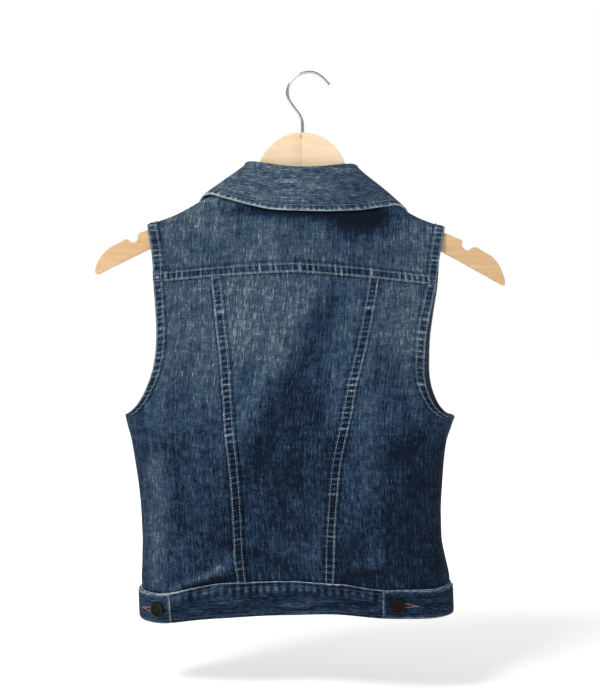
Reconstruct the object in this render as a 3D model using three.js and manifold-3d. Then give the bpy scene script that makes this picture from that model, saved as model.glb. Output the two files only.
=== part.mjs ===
// Denim vest on a wooden hanger, hung with its back towards -Y.
// Millimetres. X runs to the right seen from the back, Y towards the wearer's front, Z up.
// The origin is the inside top of the hook's bend, where a rail carries it.
import * as THREE from 'three'
import { mergeVertices } from 'three/addons/utils/BufferGeometryUtils.js'
import Module from 'manifold-3d'

// Cloth and seams
const CLOTH = 1.4
const WAISTBAND_WALL = 3.2
const TAB_WALL = 2
const COLLAR_WALL = 2
const SEAM_GAP = 0.3
const WELT_RISE = 1.2
const WELT_WIDTH = 11
const WELT_STEP = 0.9
const FRONT_EDGE_WIDTH = 34

// Body of the garment
const ROUNDNESS = 2.6
const RIDGE_HALF = 9
const RIDGE_FALL = 7
const SHOULDER_ROUNDING = 110
const SHOULDER_TIP = 161.6
const NECK_HALF = 62
const NECK_SIDE_Z = -114
const BACK_NECK_DROP = 11
const FRONT_NECK_DROP = 61
const ARMPIT_Z = -372
const YOKE_CENTRE_Z = -218.5
const YOKE_SIDE_DROP = 11.5
const FRONT_OVERLAP = 17
const FRONT_ARMHOLE_EASE = 3

// Hanger and hook
const HANGER_THICKNESS = 12.5
const HANGER_EDGE = 2
const HANGER_BELOW_RIDGE = 3.8
const HANGER_TIP_DROP = 2.6
const HEAD_RADIUS = 49
const HEAD_CENTRE = { x: -8, z: -113.7 }
const WIRE_RADIUS = 1.65
const BORE_RADIUS = 1.95
const BORE_DEPTH = 14

// Buttons
const BUTTON_RADIUS = 8.5
const BUTTON_HEIGHT = 3.2
const BUTTON_FOOT = 3.4

// Half widths and depths of the body's rings
const rings = [
  { z: -60, half: 179, back: 46, front: 46 },
  { z: -230, half: 179, back: 48, front: 50 },
  { z: -372, half: 179, back: 51, front: 54 },
  { z: -399, half: 172.5, back: 50, front: 53 },
  { z: -427, half: 168.7, back: 48, front: 51 },
  { z: -477, half: 164.8, back: 46, front: 50 },
  { z: -502, half: 164.6, back: 46, front: 50 },
  { z: -527, half: 166.7, back: 48, front: 52 },
  { z: -549, half: 169, back: 51, front: 54 },
  { z: -610, half: 169, back: 48, front: 54 },
]

// Height of the shoulder ridge over the hanger
const shoulder = [
  { x: 0, z: -92 },
  { x: 30, z: -99 },
  { x: 62, z: -114 },
  { x: 84, z: -127.5 },
  { x: 106, z: -140.5 },
  { x: 118, z: -148 },
  { x: 131, z: -155 },
  { x: 146, z: -161 },
  { x: 161.6, z: -166 },
  { x: 180, z: -169 },
]

// Edge of the armhole, from the shoulder tip to the armpit
const armhole = [
  { x: 161.6, z: -166 },
  { x: 155, z: -203 },
  { x: 152, z: -230 },
  { x: 148.3, z: -253 },
  { x: 145.2, z: -278 },
  { x: 144.5, z: -303 },
  { x: 147.1, z: -328 },
  { x: 153.5, z: -347 },
  { x: 162, z: -361 },
  { x: 172, z: -369.5 },
  { x: 179, z: -372 },
]

// Princess seams, from the centre back line
const princess = [
  { z: -215, left: 88, right: 91 },
  { z: -278, left: 78, right: 85 },
  { z: -331, left: 68, right: 78 },
  { z: -377, left: 61, right: 73.5 },
  { z: -427, left: 57.5, right: 64 },
  { z: -477, left: 57.5, right: 58 },
  { z: -527, left: 57.5, right: 53 },
  { z: -560, left: 56, right: 50 },
]

// Side seams, as angles from the centre back
const sideSeams = [
  { z: -372, left: 90, right: 90 },
  { z: -560, left: 97, right: 88 },
  { z: -600, left: 98, right: 88 },
]

// Upper and lower edge of the waistband round the hem, by angle from the centre back
const band = [
  { angle: -180, top: -553, bottom: -588 },
  { angle: -120, top: -554, bottom: -588 },
  { angle: -90, top: -556, bottom: -588 },
  { angle: -52, top: -561, bottom: -594 },
  { angle: -24, top: -550.5, bottom: -587 },
  { angle: 0, top: -548.5, bottom: -585 },
  { angle: 18, top: -549.5, bottom: -582 },
  { angle: 36, top: -555.5, bottom: -585.5 },
  { angle: 56, top: -556, bottom: -587 },
  { angle: 90, top: -552, bottom: -585 },
  { angle: 180, top: -553, bottom: -588 },
]

// Largest folds: lines on the cloth with a width and a depth, inwards where positive
const folds = [
  { face: -1, x0: -8, z0: -600, x1: -12, z1: -500, width: 62, depth: 24 },
  { face: -1, x0: 52, z0: -240, x1: -38, z1: -450, width: 34, depth: 5 },
  { face: -1, x0: -120, z0: -600, x1: -70, z1: -545, width: 16, depth: 4 },
  { face: -1, x0: -128, z0: -400, x1: -120, z1: -500, width: 18, depth: -3 },
  { face: -1, x0: 128, z0: -400, x1: 120, z1: -540, width: 20, depth: 4 },
  { face: 1, x0: 60, z0: -260, x1: 30, z1: -540, width: 34, depth: 6 },
  { face: 1, x0: -70, z0: -280, x1: -40, z1: -530, width: 30, depth: 5 },
  { face: 1, x0: 120, z0: -420, x1: 110, z1: -590, width: 20, depth: 4 },
  { face: 1, x0: -118, z0: -430, x1: -112, z1: -590, width: 20, depth: 4 },
]

// How the garment hangs: sideways shift, turn about its own height and tilt, by height
const hanging = [
  { z: -90, shift: -8.5, turn: 0, tilt: 1.4 },
  { z: -118, shift: -9.5, turn: 0, tilt: 1.4 },
  { z: -145, shift: -12, turn: 0, tilt: 1 },
  { z: -166, shift: -14.4, turn: 0, tilt: 0.5 },
  { z: -190, shift: -14.7, turn: 0.6, tilt: 0.6 },
  { z: -215, shift: -14.9, turn: 2.3, tilt: 0.7 },
  { z: -303, shift: -18, turn: 6, tilt: 0.4 },
  { z: -346, shift: -21.6, turn: 7.4, tilt: 0.3 },
  { z: -399, shift: -24, turn: 8.6, tilt: 0.2 },
  { z: -452, shift: -22.5, turn: 9.5, tilt: 0 },
  { z: -502, shift: -20.8, turn: 10, tilt: -0.5 },
  { z: -549, shift: -17, turn: 10, tilt: -1.2 },
  { z: -610, shift: -15, turn: 10, tilt: -1.2 },
]

// Collar, from the centre back to the front: seam, fold and outer edge
const collarRows = [
  {
    face: -1, neck: 0, foldX: 0, foldY: -21, foldZ: -104.5,
    leftX: -4, leftZ: -153, leftLift: 2.4, rightX: 4, rightZ: -153, rightLift: 2.4,
  },
  {
    face: -1, neck: 20, foldX: 21, foldY: -20, foldZ: -103.3,
    leftX: 30, leftZ: -151.5, leftLift: 2.6, rightX: 38, rightZ: -152.5, rightLift: 2.4,
  },
  {
    face: -1, neck: 40, foldX: 41, foldY: -16, foldZ: -100.5,
    leftX: 57, leftZ: -146, leftLift: 4, rightX: 70, rightZ: -149.5, rightLift: 2.4,
  },
  {
    face: -1, neck: 54, foldX: 54, foldY: -10, foldZ: -98.8,
    leftX: 80, leftZ: -139.5, leftLift: 5, rightX: 93, rightZ: -144.5, rightLift: 2.4,
  },
  {
    face: -1, neck: 60.5, foldX: 58.5, foldY: -4, foldZ: -99,
    leftX: 98, leftZ: -137.5, leftLift: 4.5, rightX: 108, rightZ: -144, rightLift: 2.6,
  },
  {
    face: 1, neck: 62, foldX: 60, foldY: 3, foldZ: -99.5,
    leftX: 107, leftZ: -144, leftLift: 4, rightX: 119, rightZ: -151, rightLift: 2.8,
  },
  {
    face: 1, neck: 61, foldX: 60, foldY: 12, foldZ: -101,
    leftX: 111, leftZ: -162, leftLift: 3.4, rightX: 120, rightZ: -168, rightLift: 2.6,
  },
  {
    face: 1, neck: 56, foldX: 57, foldY: 23, foldZ: -110,
    leftX: 104, leftZ: -188, leftLift: 2.6, rightX: 108, rightZ: -190, rightLift: 2.6,
  },
  {
    face: 1, neck: 44, foldX: 47, foldY: 34, foldZ: -126,
    leftX: 90, leftZ: -208, leftLift: 2.6, rightX: 91, rightZ: -208, rightLift: 2.6,
  },
  {
    face: 1, neck: 26, foldX: 30, foldY: 42, foldZ: -144,
    leftX: 70, leftZ: -224, leftLift: 2.6, rightX: 70, rightZ: -224, rightLift: 2.6,
  },
  {
    face: 1, neck: 5, foldX: 8, foldY: 47, foldZ: -156,
    leftX: 44, leftZ: -212, leftLift: 2.6, rightX: 44, rightZ: -212, rightLift: 2.6,
  },
]

const RADIANS = Math.PI / 180
const QUARTER = Math.PI / 2

function mix(a, b, t) {
  return a + (b - a) * t
}

function smooth(t) {
  const k = Math.min(Math.max(t, 0), 1)
  return k * k * (3 - 2 * k)
}

// A curve through a table's rows that never overshoots them
function track(rows, key, column) {
  const sorted = [...rows].sort((a, b) => a[key] - b[key])
  const xs = sorted.map((row) => row[key])
  const ys = sorted.map((row) => row[column])
  const rises = xs.slice(1).map((x, i) => (ys[i + 1] - ys[i]) / (x - xs[i]))
  const slopes = xs.map((x, i) => {
    const before = rises[Math.max(i - 1, 0)]
    const after = rises[Math.min(i, rises.length - 1)]
    return before * after <= 0 ? 0 : (2 * before * after) / (before + after)
  })
  return (at) => {
    const x = Math.min(Math.max(at, xs[0]), xs[xs.length - 1])
    let i = 0
    while (i < xs.length - 2 && x > xs[i + 1]) i += 1
    const step = xs[i + 1] - xs[i]
    const t = (x - xs[i]) / step
    const rise = ys[i + 1] - ys[i]
    const start = slopes[i] * step
    const end = slopes[i + 1] * step
    return ys[i] + t * (start + t * (3 * rise - 2 * start - end + t * (start + end - 2 * rise)))
  }
}

const halfAt = track(rings, 'z', 'half')
const backAt = track(rings, 'z', 'back')
const frontAt = track(rings, 'z', 'front')
const shoulderAt = track(shoulder, 'x', 'z')
const shiftAt = track(hanging, 'z', 'shift')
const turnAt = track(hanging, 'z', 'turn')
const tiltAt = track(hanging, 'z', 'tilt')
const bandTopAt = track(band, 'angle', 'top')
const bandBottomAt = track(band, 'angle', 'bottom')
const seamAt = { '-1': track(sideSeams, 'z', 'left'), 1: track(sideSeams, 'z', 'right') }
const princessAt = { '-1': track(princess, 'z', 'left'), 1: track(princess, 'z', 'right') }

function bandTop(angle) {
  return bandTopAt(angle / RADIANS)
}

function bandBottom(angle) {
  return bandBottomAt(angle / RADIANS)
}

// Moves a point of the level, symmetric garment to where it hangs
function hang(x, y, z) {
  const turn = turnAt(z) * RADIANS
  const across = x * Math.cos(turn) + y * Math.sin(turn)
  const away = y * Math.cos(turn) - x * Math.sin(turn)
  return new THREE.Vector3(across + shiftAt(z), away, z - x * Math.sin(tiltAt(z) * RADIANS))
}

// Gentle troughs and ridges of one face
function foldDepth(x, z, face) {
  let depth = 0
  for (const fold of folds.filter((row) => row.face === face)) {
    const runX = fold.x1 - fold.x0
    const runZ = fold.z1 - fold.z0
    const run = ((x - fold.x0) * runX + (z - fold.z0) * runZ) / (runX * runX + runZ * runZ)
    const along = Math.min(Math.max(run, 0), 1)
    const off = Math.hypot(x - fold.x0 - along * runX, z - fold.z0 - along * runZ)
    depth += fold.depth * Math.exp(-((off / fold.width) ** 2))
  }
  return depth
}

function widthAcross(angle, z) {
  const s = Math.sin(angle)
  const c = Math.cos(angle)
  const reach = (Math.abs(s) ** ROUNDNESS + Math.abs(c) ** ROUNDNESS) ** (-1 / ROUNDNESS)
  return { x: halfAt(z) * reach * s, depth: reach * Math.abs(c) }
}

// Outer face of the garment at an angle round the body and a height
function surface(angle, z) {
  const face = Math.cos(angle) > 0 ? -1 : 1
  const { x, depth } = widthAcross(angle, z)
  const drop = Math.max(shoulderAt(Math.abs(x)) - z, 0)
  const cap = RIDGE_HALF * Math.sqrt(1 - (1 - Math.min(drop / RIDGE_FALL, 1)) ** 2)
  const open = smooth(drop / SHOULDER_ROUNDING)
  const round = depth * (face < 0 ? backAt(z) : frontAt(z))
  const folded = open * Math.sqrt(depth) * foldDepth(x, z, face)
  return hang(x, face * (mix(cap, round, open) - folded), z)
}

// The drop below the ridge is read from the way down the cloth, which rounds the ridge first
const RIDGE_WAY = RIDGE_FALL * QUARTER

function ridgeAbove(angle) {
  return shoulderAt(Math.abs(widthAcross(angle, rings[0].z).x))
}

function heightOf(angle, way) {
  const rounded = RIDGE_FALL * (1 - Math.cos(way / RIDGE_FALL))
  const drop = way < RIDGE_WAY ? rounded : way - RIDGE_WAY + RIDGE_FALL
  return ridgeAbove(angle) - drop
}

function wayDown(angle, z) {
  const drop = Math.max(ridgeAbove(angle) - z, 0)
  return drop < RIDGE_FALL ? RIDGE_FALL * Math.acos(1 - drop / RIDGE_FALL) : drop + RIDGE_WAY - RIDGE_FALL
}

function place(s) {
  return surface(s.angle, heightOf(s.angle, s.way))
}

// Outward normal of the cloth
function outward(s) {
  const turn = 0.002
  const fall = 0.05
  const start = place(s)
  const across = place({ angle: s.angle + turn, way: s.way }).sub(start)
  const down = place({ angle: s.angle, way: s.way + fall }).sub(start)
  return down.cross(across).normalize()
}

function angleAt(x, z, face) {
  const share = Math.min(Math.abs(x) / halfAt(z), 1)
  const angle = Math.atan2(share, (1 - share ** ROUNDNESS) ** (1 / ROUNDNESS))
  return Math.sign(x) * (face < 0 ? angle : Math.PI - angle)
}

function spotAt(angle, z) {
  return { angle, way: wayDown(angle, z) }
}

function spot(x, z, face) {
  return spotAt(angleAt(x, z, face), z)
}

function evenly(from, to, count) {
  return Array.from({ length: count + 1 }, (_, i) => mix(from, to, i / count))
}

// A route on the cloth read by its share of the length
function route(spots) {
  const points = spots.map(place)
  const lengths = [0]
  for (let i = 1; i < points.length; i += 1) {
    lengths.push(lengths[i - 1] + points[i].distanceTo(points[i - 1]))
  }
  const total = lengths[lengths.length - 1]
  const read = (t) => {
    const goal = t * total
    let i = 1
    while (i < lengths.length - 1 && lengths[i] < goal) i += 1
    const k = (goal - lengths[i - 1]) / (lengths[i] - lengths[i - 1])
    return {
      angle: mix(spots[i - 1].angle, spots[i].angle, k),
      way: mix(spots[i - 1].way, spots[i].way, k),
    }
  }
  read.span = total
  return read
}

// A patch of cloth between four routes
function patchOf({ bottom, top, low, high }) {
  const corner = { low0: low(0), low1: low(1), high0: high(0), high1: high(1) }
  const blend = (u, v, key) => {
    const sides = mix(bottom(u)[key], top(u)[key], v) + mix(low(v)[key], high(v)[key], u)
    const start = mix(corner.low0[key], corner.low1[key], v)
    const end = mix(corner.high0[key], corner.high1[key], v)
    return sides - mix(start, end, u)
  }
  return (u, v) => ({ angle: blend(u, v, 'angle'), way: blend(u, v, 'way') })
}

// Shares of a polyline's length turned back into its parameter
function shareReader(keys, points) {
  const lengths = [0]
  for (let i = 1; i < points.length; i += 1) {
    lengths.push(lengths[i - 1] + points[i].distanceTo(points[i - 1]))
  }
  const total = lengths[lengths.length - 1]
  return {
    total,
    at(goal) {
      let i = 1
      while (i < lengths.length - 1 && lengths[i] < goal) i += 1
      const k = (goal - lengths[i - 1]) / Math.max(lengths[i] - lengths[i - 1], 1e-9)
      return mix(keys[i - 1], keys[i], k)
    },
  }
}

// Rows and columns on a patch, at true distances from its edges
function gridOn(patch, across, along) {
  const fine = 60
  const heights = evenly(0, 1, fine).map((k) => 1 - (1 - k) ** 2)
  const widths = evenly(0, 1, 48)
  const rowReaders = heights.map((v) => shareReader(widths, widths.map((u) => place(patch(u, v)))))
  const columnCount = across(rowReaders[0].total).length
  const columns = []
  for (let i = 0; i < columnCount; i += 1) {
    const shares = rowReaders.map((row) => row.at(across(row.total)[i]))
    const path = shareReader(heights, heights.map((v, k) => place(patch(shares[k], v))))
    const column = along(path.total).map((goal) => {
      const v = path.at(goal)
      let k = 1
      while (k < fine && heights[k] < v) k += 1
      const t = (v - heights[k - 1]) / (heights[k] - heights[k - 1])
      const u = mix(shares[k - 1], shares[k], t)
      const row = mix(rowReaders[k - 1].total, rowReaders[k].total, t)
      const low = mix(across(rowReaders[k - 1].total)[i], across(rowReaders[k].total)[i], t)
      const s = patch(u, v)
      return { ...s, low, high: row - low, bottom: goal, top: path.total - goal }
    })
    columns.push(column)
  }
  return columns
}

// Distances along a length: stops near both ends and even steps between them
function stops(near, far, ...shares) {
  return (length) => {
    const marks = [near[near.length - 1]]
    shares.forEach(([share], i) => {
      if (i < shares.length - 1) marks.push(share * length)
    })
    marks.push(length - far[far.length - 1])
    const middle = shares.flatMap(([, count], i) => evenly(marks[i], marks[i + 1], count).slice(1))
    const ending = [...far].reverse().slice(1).map((d) => length - d)
    return [...near, ...middle, ...ending]
  }
}

// A closed wall from its outer and inner points, both as columns of rows
function wall(outer, inner) {
  const rows = outer[0].length
  const count = outer.length * rows
  const points = [...outer.flat(), ...inner.flat()]
  const faces = []
  const quad = (a, b, c, d) => faces.push(a, b, c, a, c, d)
  const at = (i, j) => i * rows + j
  for (let i = 0; i + 1 < outer.length; i += 1) {
    for (let j = 0; j + 1 < rows; j += 1) {
      quad(at(i, j), at(i + 1, j), at(i + 1, j + 1), at(i, j + 1))
      quad(count + at(i, j), count + at(i, j + 1), count + at(i + 1, j + 1), count + at(i + 1, j))
    }
  }
  const rim = []
  for (let i = 0; i < outer.length; i += 1) rim.push(at(i, 0))
  for (let j = 1; j < rows; j += 1) rim.push(at(outer.length - 1, j))
  for (let i = outer.length - 2; i >= 0; i -= 1) rim.push(at(i, rows - 1))
  for (let j = rows - 2; j > 0; j -= 1) rim.push(at(0, j))
  rim.forEach((a, k) => {
    const b = rim[(k + 1) % rim.length]
    quad(a, count + a, count + b, b)
  })
  const geometry = new THREE.BufferGeometry()
  const numbers = points.flatMap((p) => p.toArray())
  geometry.setAttribute('position', new THREE.Float32BufferAttribute(numbers, 3))
  geometry.setIndex(volumeOf(points, faces) < 0 ? faces.reverse() : faces)
  geometry.computeVertexNormals()
  return geometry
}

function volumeOf(points, faces) {
  let sum = 0
  for (let i = 0; i < faces.length; i += 3) {
    sum += points[faces[i]].dot(points[faces[i + 1]].clone().cross(points[faces[i + 2]]))
  }
  return sum / 6
}

function moved(s, lift) {
  return place(s).addScaledVector(outward(s), lift)
}

// A panel of one layer whose hems and lapped seams stand out by a welt
function panel(patch, across, along, rise) {
  const grid = gridOn(patch, across, along)
  const outer = grid.map((column) => column.map((p) => moved(p, rise(p))))
  const inner = grid.map((column) => column.map((p) => moved(p, -CLOTH)))
  return wall(outer, inner)
}

function welt(distance, width = WELT_WIDTH) {
  return WELT_RISE * (1 - smooth((distance - width) / WELT_STEP))
}

const HALF_GAP = SEAM_GAP / 2
const PLAIN = [HALF_GAP]
const HEMMED = [HALF_GAP, WELT_WIDTH, WELT_WIDTH + WELT_STEP]
const RIDGED = [HALF_GAP, 3, 6.2, 9.6, 13.5]

function yokeSeamZ(x) {
  return YOKE_CENTRE_Z - YOKE_SIDE_DROP * (Math.abs(x) / armhole[2].x) ** 1.3
}

function backNeckZ(x) {
  return NECK_SIDE_Z - BACK_NECK_DROP * (1 - (x / NECK_HALF) ** 2)
}

function frontNeckZ(x) {
  return NECK_SIDE_Z - FRONT_NECK_DROP * Math.sqrt(1 - Math.min(Math.abs(x) / NECK_HALF, 1) ** 2)
}

// Armhole from the armpit up to a height, on one face of one side
function armholeSpots(side, face, lowest, highest) {
  const ease = face > 0 ? FRONT_ARMHOLE_EASE : 0
  const curve = new THREE.SplineCurve(armhole.map((row) => new THREE.Vector2(row.x, row.z)))
  const spots = curve.getPoints(90).reverse().filter((p) => p.y >= lowest && p.y <= highest)
  return spots.map((p) => {
    const loosened = ease * Math.sin(Math.PI * Math.min((p.y - ARMPIT_Z) / (-166 - ARMPIT_Z), 1))
    return spot(side * Math.min(p.x + loosened, halfAt(p.y)), p.y, face)
  })
}

function ridgeSpots(side, face, from, to) {
  return evenly(from, to, 24).map((x) => spot(side * x, shoulderAt(x), face))
}

// Yoke over both shoulder blades, up to the neck and shoulder seams
function backYoke() {
  const seamEnd = armhole[2].x
  const neck = evenly(-1, 1, 60).map((k) => {
    const x = NECK_HALF * Math.sin(k * QUARTER)
    return spot(x, backNeckZ(x), -1)
  })
  const left = ridgeSpots(-1, -1, SHOULDER_TIP, NECK_HALF)
  const right = ridgeSpots(1, -1, NECK_HALF, SHOULDER_TIP)
  const sideSpots = (side) => [
    spot(side * seamEnd, yokeSeamZ(seamEnd), -1),
    ...armholeSpots(side, -1, yokeSeamZ(seamEnd) + 2, -166),
    spot(side * SHOULDER_TIP, shoulderAt(SHOULDER_TIP), -1),
  ]
  const patch = patchOf({
    bottom: route(evenly(-seamEnd, seamEnd, 60).map((x) => spot(x || 1e-6, yokeSeamZ(x), -1))),
    top: route([...left, ...neck.slice(1, -1), ...right]),
    low: route(sideSpots(-1)),
    high: route(sideSpots(1)),
  })
  const shoulderLength = route(left).span
  const share = shoulderLength / (2 * shoulderLength + route(neck).span)
  const across = stops(HEMMED, HEMMED, [share, 5], [1 - share, 10], [1, 5])
  const along = stops(HEMMED, RIDGED, [1, 4])
  return panel(patch, across, along, (p) => Math.max(welt(p.bottom), welt(Math.min(p.low, p.high))))
}

function wrapped(angle) {
  return angle > Math.PI ? angle - 2 * Math.PI : angle
}

function bandSpot(angle) {
  return spotAt(angle, bandTop(wrapped(angle)))
}

function princessSpots(side) {
  const top = yokeSeamZ(princessAt[side](-215))
  const spots = evenly(0, 1, 30).map((k) => {
    const z = mix(-560, top, k)
    return spot(side * princessAt[side](z), z, -1)
  })
  const ended = spots.filter((s) => heightOf(s.angle, s.way) > bandTop(s.angle) + 1)
  const first = spots[spots.indexOf(ended[0]) - 1] ?? spots[0]
  return [spotAt(first.angle, bandTop(first.angle)), ...ended]
}

// Back panel between the two princess seams, lapped over the side backs
function centreBack() {
  const left = princessSpots(-1)
  const right = princessSpots(1)
  const x0 = -princessAt[-1](-215)
  const x1 = princessAt[1](-215)
  const patch = patchOf({
    bottom: route(evenly(left[0].angle, right[0].angle, 40).map(bandSpot)),
    top: route(evenly(x0, x1, 40).map((x) => spot(x || 1e-6, yokeSeamZ(x), -1))),
    low: route(left),
    high: route(right),
  })
  return panel(patch, stops(HEMMED, HEMMED, [1, 8]), stops(PLAIN, PLAIN, [1, 20]), (p) =>
    Math.max(welt(p.low), welt(p.high)))
}

function sideSeamSpots(side) {
  return evenly(0, 1, 30).map((k) => {
    const low = side * seamAt[side](-560) * RADIANS
    const z = mix(bandTop(low), ARMPIT_Z, k)
    return spotAt(side * seamAt[side](z) * RADIANS, z)
  })
}

// Armhole hem, fading into the side seam below the armpit
function armholeWelt(p) {
  return welt(p.high) * smooth((heightOf(p.angle, p.way) - ARMPIT_Z + 8) / 10)
}

function sideBack(side) {
  const seam = sideSeamSpots(side)
  const inner = princessSpots(side)
  const seamEnd = armhole[2].x
  const top = yokeSeamZ(seamEnd)
  const patch = patchOf({
    bottom: route(evenly(inner[0].angle, seam[0].angle, 40).map(bandSpot)),
    top: route(evenly(princessAt[side](-215), seamEnd, 30).map((x) => spot(side * x, yokeSeamZ(x), -1))),
    low: route(inner),
    high: route([
      ...seam,
      ...armholeSpots(side, -1, ARMPIT_Z + 0.5, top - 2),
      spot(side * seamEnd, top, -1),
    ]),
  })
  return panel(patch, stops(PLAIN, HEMMED, [1, 9]), stops(PLAIN, PLAIN, [1, 20]), armholeWelt)
}

function front(side) {
  const edge = -FRONT_OVERLAP
  const edgeAngle = (z) => {
    const angle = angleAt(edge, z, 1)
    return side > 0 ? angle + 2 * Math.PI : angle
  }
  const low = edgeAngle(-553)
  const middle = evenly(0, 1, 30).map((k) => {
    const z = mix(-553, frontNeckZ(edge), k)
    return spotAt(edgeAngle(z), z)
  })
  const neckStart = side > 0 ? edge : -edge
  const neck = evenly(Math.asin(neckStart / NECK_HALF), QUARTER, 40).slice(1).map((k) => {
    const x = NECK_HALF * Math.sin(k)
    const s = spot(side * x, frontNeckZ(x), 1)
    return side > 0 && x < 0 ? { angle: s.angle + 2 * Math.PI, way: s.way } : s
  })
  const seam = sideSeamSpots(side)
  const armholeTop = armholeSpots(side, 1, ARMPIT_Z + 0.5, -167)
  const patch = patchOf({
    bottom: route(evenly(low, seam[0].angle, 40).map(bandSpot)),
    top: route(ridgeSpots(side, 1, NECK_HALF, SHOULDER_TIP)),
    low: route([...middle, ...neck]),
    high: route([...seam, ...armholeTop, spot(side * SHOULDER_TIP, shoulderAt(SHOULDER_TIP), 1)]),
  })
  const frontEdge = [HALF_GAP, 8, 17, 26, FRONT_EDGE_WIDTH, FRONT_EDGE_WIDTH + WELT_STEP]
  const rise = (p) => {
    const strip = side > 0 ? welt(p.low, FRONT_EDGE_WIDTH) : 0
    return Math.max(strip * smooth((-165 - heightOf(p.angle, p.way)) / 10), armholeWelt(p))
  }
  const across = stops(side > 0 ? frontEdge : PLAIN, HEMMED, [1, 8])
  return panel(patch, across, stops(PLAIN, RIDGED, [1, 20]), rise)
}

const BAND_STEP = 3 * RADIANS

// A stretch of band between two angles on shared columns, between two lifts
function bandPiece(from, to, inset, low, high) {
  const firstLine = Math.floor(Math.min(from, to) / BAND_STEP) + 1
  const lastLine = Math.ceil(Math.max(from, to) / BAND_STEP) - 1
  const angles = [Math.min(from, to)]
  for (let line = firstLine; line <= lastLine; line += 1) angles.push(line * BAND_STEP)
  angles.push(Math.max(from, to))
  const rows = [0, 0.04, 0.35, 0.65, 0.96, 1]
  const column = (angle, lift) => rows.map((share) => {
    const soft = share === 0 || share === 1 ? 0.7 : 0
    const top = bandTop(wrapped(angle)) - SEAM_GAP / 2 - inset
    const z = mix(bandBottom(wrapped(angle)) + inset, top, share)
    return moved(spotAt(angle, z), lift > low ? lift - soft : lift)
  })
  return wall(angles.map((a) => column(a, high)), angles.map((a) => column(a, low)))
}

function seamAngle(side) {
  return side * seamAt[side](-570) * RADIANS
}

function gapAngle(angle) {
  const step = surface(angle + 0.01, -570).distanceTo(surface(angle, -570))
  return (0.01 * HALF_GAP) / step
}

const BAND_OUT = WAISTBAND_WALL / 2
const TAB_LIFT = BAND_OUT + 0.45

function waistbandBack() {
  const left = seamAngle(-1)
  const right = seamAngle(1)
  return bandPiece(left + gapAngle(left), right - gapAngle(right), 0, -BAND_OUT, BAND_OUT)
}

function waistbandFront(side) {
  const edge = 2 * Math.PI + angleAt(-FRONT_OVERLAP, -570, 1)
  const middle = side > 0 ? edge : edge - 2 * Math.PI
  const seam = seamAngle(side)
  const from = seam + side * gapAngle(seam)
  return bandPiece(from, middle - side * gapAngle(middle), 0, -BAND_OUT, BAND_OUT)
}

const tabs = [
  { name: 'left', side: -1, free: 128, button: 141 },
  { name: 'right', side: 1, free: 102, button: 117 },
]

function waistTab(tab) {
  const free = angleAt(tab.side * tab.free, -570, -1)
  const seam = seamAngle(tab.side)
  return bandPiece(free, seam - tab.side * gapAngle(seam), 0.9, TAB_LIFT, TAB_LIFT + TAB_WALL)
}

// Collar: stand, fold and fall as one wall
function collar() {
  const side = (row, sign) => {
    const name = sign < 0 ? 'left' : 'right'
    const neckZ = row.face < 0 ? backNeckZ(row.neck) : frontNeckZ(row.neck)
    const neck = spot(sign * Math.max(row.neck, 1e-6), neckZ, row.face)
    const edge = spot(sign * row[`${name}X`], row[`${name}Z`], row.face)
    return {
      seam: moved(neck, -CLOTH / 2),
      normal: outward(neck),
      fold: hang(sign * row.foldX, row.foldY, row.foldZ),
      edge: moved(edge, row[`${name}Lift`]),
    }
  }
  const rows = [
    ...[...collarRows].reverse().map((row) => side(row, -1)).slice(0, -1),
    side(collarRows[0], 1),
    ...collarRows.slice(1).map((row) => side(row, 1)),
  ]
  const lines = Object.fromEntries(['seam', 'fold', 'edge', 'normal'].map((key) =>
    [key, new THREE.CatmullRomCurve3(rows.map((row) => row[key]), false, 'centripetal')]))
  const stations = evenly(0, 1, 44).map((t) => {
    const read = (key) => lines[key].getPoint(t)
    const tangent = lines.seam.getTangent(t)
    const inward = tangent.clone().cross(read('normal').normalize()).normalize()
    if (inward.dot(read('fold').sub(read('seam'))) < 0) inward.negate()
    const base = read('seam').addScaledVector(inward, 1.9)
    const fold = read('fold')
    const away = new THREE.Vector3(fold.x - base.x, fold.y - base.y, 0)
    const centre = hang(0, 12, fold.z)
    away.set(fold.x - centre.x, fold.y - centre.y, 0).normalize()
    const down = new THREE.Vector3(0, 0, -1)
    const standTop = fold.clone().addScaledVector(away, -2.3).addScaledVector(down, 3)
    const fallTop = fold.clone().addScaledVector(away, 2.3).addScaledVector(down, 3)
    const edge = read('edge')
    const fallMiddle = fallTop.clone().lerp(edge, 0.5).addScaledVector(away, 0.5)
    const section = [base, base.clone().lerp(standTop, 0.5), standTop, fold, fallTop, fallMiddle, edge]
    return new THREE.CatmullRomCurve3(section, false, 'centripetal').getPoints(13)
  })
  const normalAt = (i, j) => {
    const last = stations.length - 1
    const end = stations[0].length - 1
    const across = stations[Math.min(i + 1, last)][j].clone().sub(stations[Math.max(i - 1, 0)][j])
    const along = stations[i][Math.min(j + 1, end)].clone().sub(stations[i][Math.max(j - 1, 0)])
    return along.cross(across).normalize()
  }
  const lifted = (sign) => stations.map((section, i) =>
    section.map((p, j) => p.clone().addScaledVector(normalAt(i, j), (sign * COLLAR_WALL) / 2)))
  return wall(lifted(1), lifted(-1))
}

// Round tack button: a domed cap on a short foot, standing along +Z from the cloth
function buttonGeometry() {
  const profile = [
    [0, 0],
    [BUTTON_FOOT, 0],
    [BUTTON_FOOT, 0.8],
    [BUTTON_RADIUS - 0.5, 0.8],
    [BUTTON_RADIUS, 1.4],
    [BUTTON_RADIUS, 2.2],
    [BUTTON_RADIUS - 1.2, BUTTON_HEIGHT],
    [0, BUTTON_HEIGHT - 0.4],
  ]
  const lathe = new THREE.LatheGeometry(profile.map(([r, h]) => new THREE.Vector2(r, h)), 16)
  return lathe.rotateX(QUARTER)
}

const wasm = await Module()
wasm.setup()

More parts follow.
